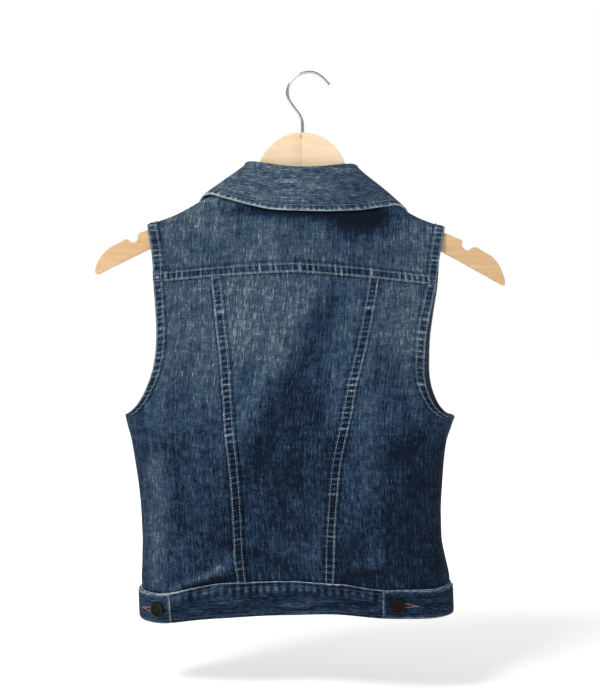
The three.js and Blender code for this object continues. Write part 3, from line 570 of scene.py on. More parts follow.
class Maths:
    """A socket whose sums add the Math nodes that work them out."""

    def __init__(self, nodes, socket):
        self.nodes = nodes
        self.socket = socket

    def sum(self, operation, *values):
        node = self.nodes.new("ShaderNodeMath")
        node.operation = operation
        for socket, value in zip(node.inputs, values):
            self.nodes.feed(socket, value)
        return Maths(self.nodes, node.outputs[0])

    def __add__(self, other):
        return self.sum("ADD", self, other)

    def __radd__(self, other):
        return self.sum("ADD", other, self)

    def __sub__(self, other):
        return self.sum("SUBTRACT", self, other)

    def __rsub__(self, other):
        return self.sum("SUBTRACT", other, self)

    def __mul__(self, other):
        return self.sum("MULTIPLY", self, other)

    def __rmul__(self, other):
        return self.sum("MULTIPLY", other, self)

    def __abs__(self):
        return self.sum("ABSOLUTE", self)

    def clamped(self):
        lifted = self.sum("MAXIMUM", self, 0.0)
        return lifted.sum("MINIMUM", lifted, 1.0)


class Finish:
    """A material under construction: one method makes any node."""

    def __init__(self, name, **shader):
        self.material = bpy.data.materials.new(name)
        self.material.use_nodes = True
        self.tree = self.material.node_tree
        self.shader = self.tree.nodes["Principled BSDF"]
        for socket, value in shader.items():
            self.shader.inputs[socket.replace("_", " ")].default_value = value

    def new(self, kind):
        return self.tree.nodes.new(kind)

    def feed(self, socket, value):
        if isinstance(value, Maths):
            self.tree.links.new(value.socket, socket)
        elif isinstance(value, bpy.types.NodeSocket):
            self.tree.links.new(value, socket)
        else:
            socket.default_value = value

    def node(self, kind, settings=None, output=0, **inputs):
        node = self.new(kind)
        for key, value in (settings or {}).items():
            setattr(node, key, value)
        for name, value in inputs.items():
            wanted = name.replace("_", " ")
            socket = next(s for s in node.inputs if s.name == wanted and s.enabled)
            self.feed(socket, value)
        return Maths(self, node.outputs[output])

    def coordinates(self, source, scale):
        if source == "Object":
            start = self.node("ShaderNodeTexCoord", output="Object")
        else:
            start = self.node("ShaderNodeUVMap", {"uv_map": source})
        return self.node("ShaderNodeMapping", Vector=start, Scale=scale)

    def along(self, axis):
        start = self.node("ShaderNodeTexCoord", output="Object")
        return self.node("ShaderNodeSeparateXYZ", output=axis, Vector=start)

    def noise(self, source, scale, detail=2.0, roughness=0.5, distortion=0.0):
        return self.node(
            "ShaderNodeTexNoise", Vector=self.coordinates(source, scale), Scale=1.0, Detail=detail,
            Roughness=roughness, Distortion=distortion)

    def attribute(self, name):
        return self.node("ShaderNodeAttribute", {"attribute_name": name}, "Fac")

    def blend(self, factor, first, second):
        node = self.new("ShaderNodeMix")
        node.data_type = "RGBA"
        self.feed(node.inputs[0], factor)
        self.feed(node.inputs[6], first)
        self.feed(node.inputs[7], second)
        return Maths(self, node.outputs[2])

    def use(self, colour, roughness, normal):
        named = {"Base Color": colour, "Roughness": roughness, "Normal": normal}
        for socket, value in named.items():
            if value is not None:
                self.feed(self.shader.inputs[socket], value)
        return self.material

    def bump(self, height, distance, strength):
        return self.node("ShaderNodeBump", Height=height, Distance=distance, Strength=strength)


def denim_finish(look, name, inside=False):
    """Washed indigo twill: slubby warp streaks over a pale weft, faded where washed and worn, and darker
    or paler where painted shade and light come in with the wash and the wear.
    """
    denim = Finish(name, Roughness=0.92, Sheen_Weight=0.02, Sheen_Roughness=0.5, Specular_IOR_Level=0.06)
    threads = denim.noise("grain", (1200, 115, 1), 1.0)
    slubs = denim.noise("grain", (520, 26, 1), 2.0, 0.55)
    broad = denim.noise("grain", (110, 16, 1))
    grit = denim.noise("grain", (720, 800, 1), 2.0, 0.6)
    cross = denim.noise("grain", (120, 420, 1), 2.0, 0.55)
    crinkle = denim.noise("Object", (90, 90, 150), 3.0, 0.6)
    clouds = denim.noise("Object", (16, 16, 12), 3.0, 0.55)
    streaks = (threads - 0.5) * 1.1 + (slubs - 0.5) * 0.8 + (broad - 0.5) * 0.3 + (cross - 0.5) * 0.35
    # fade and level also carry the painted shade and light held in the wash and wear attributes
    fade = denim.attribute("wash_and_shade") + (clouds - 0.5) * 0.26 + denim.attribute("wear_and_shade") * 0.55
    level = fade + (streaks + (grit - 0.5) * 1.05 + (crinkle - 0.5) * 0.7) * 0.98
    shade = denim.blend((level * 2.9).clamped(), look.denim_deep, look.denim_dark)
    greyed = ((denim.attribute("wash_and_shade") - 0.26) * 4.5).clamped()
    washed = denim.blend(greyed, look.denim_mid, look.denim_grey)
    shade = denim.blend(((level - 0.34) * 3.6).clamped(), shade, washed)
    shade = denim.blend(((level - 0.64) * 1.7).clamped(), shade, look.denim_pale)
    twill = denim.node(
        "ShaderNodeTexWave", {"wave_type": "BANDS", "bands_direction": "DIAGONAL"}, Scale=210.0,
        Vector=denim.coordinates("grain", (1, 1, 1)), Distortion=0.6, Detail=1.0, Detail_Scale=2.0)
    height = threads * 0.7 + slubs * 0.7 + cross * 0.8 + grit * 0.6 + crinkle * 1.6 + twill * 0.2
    if inside:
        shade = denim.blend(0.55, shade, look.denim_inside)
    return denim.use(shade, 0.86 + (slubs - 0.5) * 0.2, denim.bump(height, 0.0006, 0.8))


def thread_finish(name, colour):
    """Sewing thread that has faded unevenly with the cloth."""
    thread = Finish(name, Roughness=0.75, Sheen_Weight=0.15)
    twist = thread.noise("Object", (900, 900, 900), 1.0)
    fade = thread.noise("Object", (60, 60, 40))
    dull = [channel * 0.45 for channel in colour[:3]] + [1.0]
    shade = thread.blend(((fade - 0.3) * 1.6 + (twist - 0.5) * 0.5).clamped(), dull, tuple(colour))
    return thread.use(shade, None, thread.bump(twist, 0.0002, 0.5))


# The wood's marks, in metres: its glue line, where the arms begin and two knots
GLUE_LINE_X = -0.0083
ARMS_BELOW = 0.115
KNOTS = table("x z sharpness", (-0.0091, -0.0690, 7e5), (-0.1843, -0.1838, 9e5))


def wood_finish(look):
    """Pale lacquered wood with long grain, a glue line down the head and darker ends."""
    wood = Finish("hanger_wood", Roughness=0.42, Coat_Weight=0.25, Coat_Roughness=0.25)
    warp = wood.noise("Object", (9, 30, 22))
    rings = wood.noise("Object", (26, 160, 240), 4.0, 0.6, 0.6)
    pores = wood.noise("Object", (120, 900, 1500), 2.0, 0.6)
    across, height = wood.along("X"), wood.along("Z")
    low = ((height * -1.0 - ARMS_BELOW) * 14.0).clamped()
    leftwards = (across - GLUE_LINE_X) * -1.0
    beside = (leftwards * 5000.0).clamped() * (1 - (leftwards * 70.0).clamped())
    tone = (rings - 0.5) * 1.1 + (warp - 0.5) * 0.8 + low * 0.85 + beside * 0.35 + 0.12
    shade = wood.blend(tone.clamped(), look.wood_light, look.wood_dark)
    joint = 1 - (abs(across - GLUE_LINE_X) * 2600.0).clamped()
    shade = wood.blend(joint * 0.5 * (1 - low), shade, look.wood_joint)
    for knot in KNOTS:
        beside_x = across - knot["x"]
        beside_z = height - knot["z"]
        near = 1.6 - (beside_x * beside_x + beside_z * beside_z) * knot["sharpness"]
        shade = wood.blend(near.clamped() * 0.9, shade, look.wood_joint)
    shade = wood.blend(((pores - 0.62) * 3.0).clamped() * 0.35, shade, look.wood_joint)
    return wood.use(shade, 0.40 + (rings - 0.5) * 0.2, wood.bump(rings * 0.4 + pores * 0.6, 0.0002, 0.35))


def chrome_finish():
    chrome = Finish("hook_chrome", Metallic=1.0, Base_Color=(0.55, 0.56, 0.58, 1))
    scuffs = chrome.noise("Object", (300, 300, 90), 3.0)
    return chrome.use(None, 0.16 + (scuffs - 0.5) * 0.14, chrome.bump(scuffs, 0.0001, 0.2))


def button_finish(look):
    metal = Finish("button_metal", Metallic=0.85)
    worn = metal.noise("Object", (240, 240, 240))
    shade = metal.blend(((worn - 0.52) * 2.5).clamped(), look.button_dark, look.button_worn)
    return metal.use(shade, 0.36 + (worn - 0.5) * 0.3, metal.bump(worn, 0.00015, 0.35))


def link(name, data):
    """Puts an object with this data into the scene."""
    obj = bpy.data.objects.new(name, data)
    bpy.context.scene.collection.objects.link(obj)
    return obj


def mesh_of(bm, name, *finishes):
    """A smooth mesh from a bmesh, which it uses up."""
    mesh = bpy.data.meshes.new(name)
    bm.to_mesh(mesh)
    bm.free()
    mesh.shade_smooth()
    for finish in finishes:
        mesh.materials.append(finish)
    return mesh


def vertices_of(mesh):
    flat = np.empty(len(mesh.vertices) * 3)
    mesh.vertices.foreach_get("co", flat)
    return flat.reshape(-1, 3)


def finish_piece(obj, slot, *nodes):
    """Declares a piece's body and the nodes that it replaces; its slot is not used."""
    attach(obj, "root")
    if nodes:
        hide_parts(*nodes)
    return obj


def cloth_shell(name, points, normals, fields, grain, wall, finishes):
    """A thin shell from a bmesh grid whose vertices take the cloth's points, columns by rows."""
    columns, rows = points.shape[:2]
    bm = bmesh.new()
    bmesh.ops.create_grid(bm, x_segments=columns - 1, y_segments=rows - 1, size=0.5)
    mesh = mesh_of(bm, name, *finishes)
    flat = vertices_of(mesh)
    i = np.rint((flat[:, 0] + 0.5) * (columns - 1)).astype(int)
    j = np.rint((flat[:, 1] + 0.5) * (rows - 1)).astype(int)
    mesh.vertices.foreach_set("co", (points[i, j] * MM).ravel())
    for key, values in fields.items():
        layer = mesh.attributes.new(key, "FLOAT", "POINT")
        layer.data.foreach_set("value", values[i, j].astype(float))
    corners = np.empty(len(mesh.loops), int)
    mesh.loops.foreach_get("vertex_index", corners)
    mesh.uv_layers.new(name="grain").data.foreach_set("uv", (grain[i, j] * MM)[corners].ravel())
    a, b = columns // 2, rows // 2
    facing = np.cross(points[a + 1, b] - points[a, b], points[a, b + 1] - points[a, b])
    if facing @ normals[a, b] < 0:
        mesh.flip_normals()
    obj = link(name, mesh)
    solid = obj.modifiers.new("Wall", "SOLIDIFY")
    solid.thickness = wall * MM
    solid.offset = -1
    solid.use_even_offset = False
    solid.material_offset = len(finishes) - 1
    solid.material_offset_rim = 0
    return obj


def sheet_of(points):
    """Works out the size that a cloth piece's outer face has laid flat, which is then not used."""
    across = lengths_along(points)[-1]
    along = lengths_along(points.swapaxes(0, 1))[-1]
    du = points[1:, :-1] - points[:-1, :-1]
    dv = points[:-1, 1:] - points[:-1, :-1]
    area = np.linalg.norm(np.cross(du, dv), axis=-1).sum() * MM * MM
    width, length = across.max() * MM, along.max() * MM
    flat = (float(width), float(max(length, area / width)))


# The finishes by name and the lines to sew, filled as the operators run
LOOK = {}
SEWN_LINES = {"seam": [], "tonal": []}


def settings():
    return bpy.context.scene.vest_settings


def remember_line(points, normals, kind="seam"):
    """Keeps a line on the cloth that the sewing follows."""
    SEWN_LINES[kind].append((points + normals * STITCH_LIFT, normals))


def yoke_seam_z(x):
    return YOKE_CENTRE_Z - YOKE_SIDE_DROP * (np.abs(x) / YOKE_END) ** 1.3


def back_neck_z(x):
    return NECK_SIDE_Z - BACK_NECK_DROP * (1 - (x / NECK_HALF) ** 2)


def front_neck_z(x):
    return NECK_SIDE_Z - FRONT_NECK_DROP * np.sqrt(1 - np.minimum(np.abs(x) / NECK_HALF, 1) ** 2)


def spline(points, count, closed=False):
    """A Catmull-Rom curve through points, read at even steps of its own measure."""
    points = np.asarray(points, float)
    if closed:
        padded = np.concatenate([points[-1:], points, points[:2]])
    else:
        padded = np.concatenate([2 * points[:1] - points[1:2], points, 2 * points[-1:] - points[-2:-1]])
    knots = np.concatenate([[0], np.cumsum(np.linalg.norm(np.diff(padded, axis=0), axis=-1) ** 0.5)])
    t = np.linspace(knots[1], knots[-2], count)
    k = np.clip(np.searchsorted(knots, t, side="right") - 1, 1, len(padded) - 3)
    t0, t1, t2, t3 = (knots[k + d][:, None] for d in (-1, 0, 1, 2))
    p0, p1, p2, p3 = (padded[k + d] for d in (-1, 0, 1, 2))
    t = t[:, None]
    a1 = mix(p0, p1, (t - t0) / (t1 - t0))
    a2 = mix(p1, p2, (t - t1) / (t2 - t1))
    a3 = mix(p2, p3, (t - t2) / (t3 - t2))
    b1 = mix(a1, a2, (t - t0) / (t2 - t0))
    b2 = mix(a2, a3, (t - t1) / (t3 - t1))
    return mix(b1, b2, (t - t1) / (t2 - t1))


def armhole_spots(side, face, lowest, highest):
    """The armhole's curve between two heights, eased outwards on a front."""
    ease = FRONT_ARMHOLE_EASE if face > 0 else 0
    curve = spline([(row["x"], row["z"]) for row in ARMHOLE], 200)[::-1]
    curve = curve[(curve[:, 1] >= lowest) & (curve[:, 1] <= highest)]
    climbed = np.clip((curve[:, 1] - ARMPIT_Z) / (SHOULDER_TIP_Z - ARMPIT_Z), 0, 1)
    x = np.minimum(curve[:, 0] + ease * np.sin(math.pi * climbed), half_at(curve[:, 1]))
    return spots(side * x, curve[:, 1], face)


def ridge_spots(side, face, start, end):
    x = np.linspace(start, end, 40)
    return spots(side * x, shoulder_at(x), face)


def band_spots(start, end):
    angle = np.linspace(start, end, 60)
    return spots_at(angle, band_top(angle))


def princess_spots(side):
    """A princess seam from the waistband up to the yoke."""
    top = yoke_seam_z(princess_at[side](PRINCESS_TOP_Z))
    z = np.linspace(BODY_LOW_Z, top, 60)
    places = spots(side * princess_at[side](z), z, -1)
    kept = height_of(*parted(places)) > band_top(places[:, 0]) + 1
    first = max(int(np.argmax(kept)) - 1, 0)
    start = spots_at(places[first, 0], band_top(places[first, 0]))
    return np.concatenate([start, places[kept]])


def side_seam_spots(side):
    low = side * math.radians(seam_at[side](BODY_LOW_Z))
    z = np.linspace(float(band_top(low)), ARMPIT_Z, 50)
    return spots_at(side * np.radians(seam_at[side](z)), z)


def yoke_patch():
    """The yoke's patch, and the share of its top that each shoulder takes."""
    x = np.linspace(-YOKE_END, YOKE_END, 121)
    neck = NECK_HALF * np.sin(np.linspace(-1, 1, 121) * math.pi / 2)
    left = ridge_spots(-1, -1, SHOULDER_TIP, NECK_HALF)
    right = ridge_spots(1, -1, NECK_HALF, SHOULDER_TIP)
    neckline = spots(neck, back_neck_z(neck), -1)
    low_end = float(yoke_seam_z(YOKE_END))

    def side_spots(side):
        tip = spots(side * SHOULDER_TIP, shoulder_at(SHOULDER_TIP), -1)
        armhole = armhole_spots(side, -1, low_end + 2, SHOULDER_TIP_Z)
        return np.concatenate([spots(side * YOKE_END, low_end, -1), armhole, tip])

    patch = patch_of(
        route(spots(x, yoke_seam_z(x), -1)), route(np.concatenate([left, neckline[1:-1], right])),
        route(side_spots(-1)), route(side_spots(1)))
    shoulder = route(left).span
    return patch, shoulder / (2 * shoulder + route(neckline).span)


def centre_back_patch():
    left, right = princess_spots(-1), princess_spots(1)
    x = np.linspace(-princess_at[-1](PRINCESS_TOP_Z), princess_at[1](PRINCESS_TOP_Z), 81)
    return patch_of(
        route(band_spots(left[0, 0], right[0, 0])), route(spots(x, yoke_seam_z(x), -1)),
        route(left), route(right))


def side_back_patch(side):
    seam, inner = side_seam_spots(side), princess_spots(side)
    top = float(yoke_seam_z(YOKE_END))
    x = np.linspace(princess_at[side](PRINCESS_TOP_Z), YOKE_END, 60)
    outer = np.concatenate([
        seam, armhole_spots(side, -1, ARMPIT_Z + 0.5, top - 2), spots(side * YOKE_END, top, -1)])
    return patch_of(
        route(band_spots(inner[0, 0], seam[0, 0])), route(spots(side * x, yoke_seam_z(x), -1)),
        route(inner), route(outer))


def front_patch(side):
    """A front's patch. The right one's angles run on past the centre, where it laps over the left."""
    lap = 2 * math.pi if side > 0 else 0
    z = np.linspace(FRONT_LOW_Z, float(front_neck_z(-FRONT_OVERLAP)), 60)
    middle = spots(np.full(60, -FRONT_OVERLAP), z, 1)
    middle[:, 0] += lap
    start = -FRONT_OVERLAP if side > 0 else FRONT_OVERLAP
    x = NECK_HALF * np.sin(np.linspace(math.asin(start / NECK_HALF), math.pi / 2, 60))[1:]
    neck = spots(side * x, front_neck_z(x), 1)
    neck[:, 0] += np.where((side > 0) & (x < 0), lap, 0)
    seam = side_seam_spots(side)
    outer = np.concatenate([
        seam, armhole_spots(side, 1, ARMPIT_Z + 0.5, SHOULDER_TIP_Z - 1),
        spots(side * SHOULDER_TIP, shoulder_at(SHOULDER_TIP), 1)])
    ridge = ridge_spots(side, 1, NECK_HALF, SHOULDER_TIP)
    return patch_of(
        route(band_spots(middle[0, 0], seam[0, 0])), route(ridge),
        route(np.concatenate([middle, neck])), route(outer))


def together(*dressings):
    """Reliefs and wears, with their painted shade, added up."""
    return tuple(sum(values) for values in zip(*dressings))


def hem_strip(grid, seed):
    """Turned hem of an armhole on a panel's high side, fading out below the armpit."""
    relief, wear_and_shade = strip(grid.high, grid.bottom, seed)
    seam, seam_wear_and_shade = edge_pucker(grid.high, grid.bottom, 39, 0.3, 5)
    rounded = 0.5 * bell(grid.high, 1.2)
    on = smooth((height_of(grid.angle, grid.way) - ARMPIT_Z + 8) / 10)
    return relief * on + (seam - rounded) * (1 - on), wear_and_shade * on + seam_wear_and_shade * (1 - on)


def edge_pucker(distance, run, seed, depth=0.35, reach=7.0):
    """Gathers that a seam draws into the panel beside it, and a painted shadow line along the seam's
    edge.
    """
    near = bell(distance, reach)
    gather = pucker(run, seed) - 0.5
    # painted shadow: a dark line along the seam's edge
    shade = bell(distance, 1.6)
    return depth * near * gather, 0.4 * near * gather - 0.6 * shade


def panel_piece(name, patch, across, along, dress, seed):
    """One panel: its grid, relief and wear with painted shade from dress, painted light and shade that
    follow its creases and soft relief, then the shell.
    """
    grid = lay_out(patch, across, along)
    z = height_of(grid.angle, grid.way)
    base = place(grid.angle, grid.way)
    normals = outward(grid.angle, grid.way)
    relief, wear_and_shade = dress(grid)
    soft = 0.35 * noise(seed, base[..., 0] + 3 * noise(seed + 3, base[..., 2], 30), 17)
    soft = soft * noise(seed + 5, base[..., 2] + base[..., 0] * 0.4, 26)
    points = base + normals * (relief + soft)[..., None]
    face = np.where(np.cos(grid.angle) > 0, -1, 1)
    creased = fold_depth(CREASES, width_across(grid.angle, z)[0], z, face)
    wash_and_shade = wash_and_shade_at(points, face)
    wear_and_shade = np.where(wear_and_shade > 0, wear_and_shade * (1 + 1.7 * (0.54 - wash_and_shade)), wear_and_shade)
    # painted light on the soft relief's bumps and painted shade in the creases' troughs, with painted
    # light on their ridges
    wear_and_shade = np.clip(wear_and_shade + 0.3 * soft - 0.16 * creased, -0.9, 1.4)
    fields = {"wash_and_shade": wash_and_shade, "wear_and_shade": wear_and_shade}
    grain = np.stack([arc_of(grid.angle, z), z], -1)
    wall = settings().cloth_wall / MM
    finishes = [LOOK["denim"], LOOK["denim_inside"]]
    obj = cloth_shell(name, points, normals, fields, grain, wall, finishes)
    finish_piece(obj, "denim", name.removeprefix("cloth_"))
    sheet_of(points)
    return grid, points, normals


def colour_setting(name, description, *rgb):
    return FloatVectorProperty(
        name=name, description=description, subtype="COLOR", size=4, default=(*rgb, 1))


class VestSettings(bpy.types.PropertyGroup):
    cloth_wall: FloatProperty(
        name="Cloth", description="Thickness of one layer", default=0.0014, unit="LENGTH")
    thread_radius: FloatProperty(
        name="Thread", description="Radius of the sewing thread", default=0.00042, unit="LENGTH")
    stitch_pitch: FloatProperty(
        name="Stitch", description="Distance from stitch to stitch", default=0.0031, unit="LENGTH")
    denim_deep: colour_setting("Deep indigo", "Unfaded cloth", 0.0030, 0.0068, 0.0150)
    denim_dark: colour_setting("Dark indigo", "Little faded cloth", 0.0175, 0.0385, 0.0780)
    denim_mid: colour_setting("Middle indigo", "Washed cloth", 0.0490, 0.0850, 0.1290)
    denim_grey: colour_setting("Greyed indigo", "Most washed cloth", 0.0465, 0.0770, 0.1010)
    denim_pale: colour_setting("Pale indigo", "Worn edges", 0.325, 0.385, 0.44)
    denim_inside: colour_setting("Inside", "The cloth's inner side", 0.16, 0.21, 0.27)
    thread: colour_setting("Thread colour", "Thread of the seams", 0.30, 0.35, 0.40)
    tonal_thread: colour_setting("Tonal thread", "Thread of the waistband and tabs", 0.045, 0.070, 0.105)
    buttonhole: colour_setting("Buttonhole thread", "Thread of the buttonholes", 0.52, 0.28, 0.17)
    wood_light: colour_setting("Light wood", "Wood of the head", 0.78, 0.60, 0.41)
    wood_dark: colour_setting("Dark wood", "Wood of the arms", 0.56, 0.35, 0.17)
    wood_joint: colour_setting("Glue line", "Pores and the joint in the wood", 0.36, 0.22, 0.10)
    button_dark: colour_setting("Button", "Plated metal", 0.007, 0.006, 0.0055)
    button_worn: colour_setting("Worn button", "Rubbed metal", 0.022, 0.018, 0.015)


class VEST_OT_finishes(bpy.types.Operator):
    """Makes the finishes that the pieces share"""

    bl_idname = "vest.finishes"
    bl_label = "Finishes"

    def execute(self, context):
        s = settings()
        LOOK["denim"] = denim_finish(s, "denim")
        LOOK["denim_inside"] = denim_finish(s, "denim_inside", inside=True)
        LOOK["seam"] = thread_finish("seam_thread", s.thread)
        LOOK["tonal"] = thread_finish("tonal_thread", s.tonal_thread)
        LOOK["buttonhole"] = thread_finish("buttonhole_thread", s.buttonhole)
        LOOK["wood"] = wood_finish(s)
        LOOK["chrome"] = chrome_finish()
        LOOK["button"] = button_finish(s)
        return {"FINISHED"}


class VEST_OT_yoke(bpy.types.Operator):
    """Back yoke, lapped over the panels below it and hemmed at both armholes"""

    bl_idname = "vest.yoke"
    bl_label = "Back yoke"

    def execute(self, context):
        patch, share = yoke_patch()
        across = stops(HEMMED, HEMMED, (share, 60), (1 - share, 116), (1, 60))
        along = stops(HEMMED, RIDGED, (1, 40))

        def dress(grid):
            lap, lap_wear_and_shade = strip(grid.bottom, grid.low, 11)
            hem, hem_wear_and_shade = strip(np.minimum(grid.low, grid.high), grid.bottom, 12)
            neck, neck_wear_and_shade = edge_pucker(grid.top, grid.low, 13)
            return np.maximum(lap, hem) + neck, np.maximum(lap_wear_and_shade + hem_wear_and_shade, -0.7) + neck_wear_and_shade

        grid, points, normals = panel_piece("cloth_back_yoke", patch, across, along, dress, 1)
        for j in TWIN_ROWS:
            remember_line(points[:, j], normals[:, j])
        for i in TWIN_ROWS + FAR_TWIN_ROWS:
            remember_line(points[i, 3:-3], normals[i, 3:-3])
        return {"FINISHED"}


class VEST_OT_centre_back(bpy.types.Operator):
    """Centre back panel, lapped over the side backs at the princess seams"""

    bl_idname = "vest.centre_back"
    bl_label = "Centre back"

    def execute(self, context):
        across = stops(HEMMED, HEMMED, (1, 64))
        along = stops(PLAIN, PLAIN, (1, 215))

        def dress(grid):
            uneven = grid.bottom + 3 * (grid.low < grid.high)
            return together(
                strip(np.minimum(grid.low, grid.high), uneven, 21),
                edge_pucker(grid.top, grid.low, 22, 0.3, 6),
                edge_pucker(grid.bottom, grid.low * 0.8, 23, 0.55, 9))

        patch = centre_back_patch()
        grid, points, normals = panel_piece("cloth_centre_back", patch, across, along, dress, 2)
        for i in TWIN_ROWS + FAR_TWIN_ROWS:
            remember_line(points[i], normals[i])
        return {"FINISHED"}


class VEST_OT_side_backs(bpy.types.Operator):
    """Two side back panels between the princess seams, the side seams and the armholes"""

    bl_idname = "vest.side_backs"
    bl_label = "Side backs"

    def execute(self, context):
        for side, name in SIDES:
            across = stops(PLAIN, HEMMED, (1, 58))
            along = stops(PLAIN, PLAIN, (1, 215))

            def dress(grid):
                return together(
                    hem_strip(grid, 31 + side),
                    edge_pucker(grid.low, grid.bottom, 21, 0.35, 5),
                    edge_pucker(grid.bottom, grid.low * 0.8, 34, 0.5, 9),
                    edge_pucker(grid.top, grid.low, 35, 0.3, 6))

            title = f"cloth_side_back_{name}"
            patch = side_back_patch(side)
            grid, points, normals = panel_piece(title, patch, across, along, dress, 3 + side)
            above = height_of(grid.angle[-1], grid.way[-1]) > ARMPIT_Z + 1
            for i in FAR_TWIN_ROWS:
                remember_line(points[i][above], normals[i][above])
        return {"FINISHED"}


class VEST_OT_fronts(bpy.types.Operator):
    """Two plain front panels, one with the turned edge that the buttons close"""

    bl_idname = "vest.fronts"
    bl_label = "Fronts"

    def execute(self, context):
        for side, name in SIDES:
            across = stops(PLACKET if side > 0 else PLAIN, HEMMED, (1, 64))
            along = stops(PLAIN, RIDGED, (1, 240))

            def dress(grid):
                hem, hem_wear_and_shade = hem_strip(grid, 41 + side)
                waist, waist_wear_and_shade = edge_pucker(grid.bottom, grid.low * 0.8, 44, 0.5, 9)
                neck_in = edge_pucker(grid.low, grid.bottom, 45, 0.3, 6)[0]
                fold, fold_wear_and_shade = strip(grid.low, grid.bottom, 46, FRONT_EDGE_WIDTH)
                heights = height_of(grid.angle, grid.way)
                on = smooth((PLACKET_TOP_Z - heights) / 10) * (side > 0)
                relief = hem + waist + neck_in * (1 - on) + fold * on
                return relief, hem_wear_and_shade + waist_wear_and_shade + fold_wear_and_shade * on

            title = f"cloth_front_{name}"
            patch = front_patch(side)
            grid, points, normals = panel_piece(title, patch, across, along, dress, 6 + side)
            heights = height_of(grid.angle, grid.way)
            for i in FAR_TWIN_ROWS:
                above = heights[i] > ARMPIT_Z + 1
                remember_line(points[i][above], normals[i][above])
            for i in PLACKET_ROWS if side > 0 else ():
                below = heights[i] < PLACKET_SEWING_TOP_Z
                remember_line(points[i][below], normals[i][below])
        return {"FINISHED"}


# The collar's grid, its fold and where its seam and its stitching run, in millimetres
COLLAR_COLUMNS = 340
COLLAR_ROWS = 60
COLLAR_MIDDLE_Y = 12.0
NECK_SEAM_SUNK = 0.7
FOLD_HALF = 2.3
FOLD_ROUNDING = 3.0
COLLAR_SEWING = 6
COLLAR_END_COLUMNS = (5, -6)
FALL_FIRST_ROW = 34
COLLAR_FOLD = 47
FRONT_OF_COLLAR_Y = 4


def collar_sections():
    """Lines of the collar from its seam over the fold to its edge, station by station."""

    def station(row, sign):
        name = "left" if sign < 0 else "right"
        neck_z = back_neck_z(row["neck"]) if row["face"] < 0 else front_neck_z(row["neck"])
        neck = spots(sign * max(row["neck"], 1e-6), neck_z, row["face"])
        edge = spots(sign * row[f"{name}X"], row[f"{name}Z"], row["face"])
        normal = outward(*parted(neck))[0]
        edge_normal = outward(*parted(edge))[0]
        fold = hang(*(np.array(float(v)) for v in (sign * row["foldX"], row["foldY"], row["foldZ"])))
        return (
            place(*parted(neck))[0] - normal * NECK_SEAM_SUNK, normal, fold,
            place(*parted(edge))[0] + edge_normal * row[f"{name}Lift"])

    rows = [station(row, -1) for row in COLLAR[:0:-1]] + [station(row, 1) for row in COLLAR]
    seam, normal, fold, edge = (spline([row[k] for row in rows], COLLAR_COLUMNS) for k in range(4))
    tangent = unit(np.gradient(seam, axis=0))
    inward = unit(np.cross(tangent, unit(normal)))
    inward *= np.sign(np.sum(inward * (fold - seam), -1, keepdims=True))
    base = seam + inward * 1.9
    centre = hang(np.zeros(COLLAR_COLUMNS), np.full(COLLAR_COLUMNS, COLLAR_MIDDLE_Y), fold[:, 2])
    away = unit((fold - centre) * (1, 1, 0))
    below_fold = fold - (0, 0, FOLD_ROUNDING)
    stand_top = below_fold - away * FOLD_HALF
    fall_top = below_fold + away * FOLD_HALF
    middle = mix(fall_top, edge, 0.5) + away * 0.5
    sections = np.stack([base, mix(base, stand_top, 0.5), stand_top, fold, fall_top, middle, edge], 1)
    return np.stack([spline(section, COLLAR_ROWS) for section in sections])


class VEST_OT_collar(bpy.types.Operator):
    """Collar as one wall: stand, fold and fall, with a stitched edge"""

    bl_idname = "vest.collar"
    bl_label = "Collar"

    def execute(self, context):
        sections = collar_sections()
        along = lengths_along(sections.swapaxes(0, 1))
        from_edge = (along[-1] - along).T
        run = lengths_along(sections[:, -1])[:, None] + 0 * from_edge
        from_rim = np.minimum(from_edge, np.minimum(run, run[-1] - run))
        across = np.gradient(sections, axis=0)
        down = np.gradient(sections, axis=1)
        normals = unit(np.cross(down, across))
        gather = pucker(run, 51)
        line = bell(from_rim - COLLAR_SEWING, 1.1)
        rim = bell(from_rim, 1.3)
        band = bell(from_edge - 3.2, 2.4)
        inner = bell(from_edge - 9.5, 3.5)
        relief = 0.5 * band * (gather - 0.4) + 0.3 * inner * (gather - 0.5)
        relief = relief - 0.35 * line - 0.35 * rim
        wave = 0.5 * noise(53, run * 0.6 + from_edge, 23) * smooth((from_edge - 4) / 20)
        lift = COLLAR_WALL / 2 + relief + wave * smooth((60 - from_edge) / 30)
        points = sections + normals * lift[..., None]
        wear_and_shade = 1.35 * bell(from_rim, 1.8) + 0.15 * bell(from_edge - COLLAR_FOLD, 3.0) - 0.7 * line
        wear_and_shade = wear_and_shade + 1.3 * band * (gather**1.5 - 0.3) + 0.3 * inner * (gather - 0.6)
        face = np.where(points[..., 1] < FRONT_OF_COLLAR_Y, -1, 1)
        wash_and_shade = np.where(face < 0, 0.56 - 0.10 * smooth((points[..., 0] + 20) / 80), 0.50)
        fields = {"wash_and_shade": wash_and_shade, "wear_and_shade": wear_and_shade}
        grain = np.stack([from_edge, run], -1)
        finishes = [LOOK["denim"], LOOK["denim"]]
        obj = cloth_shell("cloth_collar", points, normals, fields, grain, COLLAR_WALL, finishes)
        finish_piece(obj, "denim", "collar")
        sheet_of(points)
        j = int(np.argmin(np.abs(from_edge[COLLAR_COLUMNS // 2] - COLLAR_SEWING)))
        remember_line(points[5:-5, j], normals[5:-5, j])
        for i in COLLAR_END_COLUMNS:
            remember_line(points[i, FALL_FIRST_ROW:j], normals[i, FALL_FIRST_ROW:j])
        return {"FINISHED"}


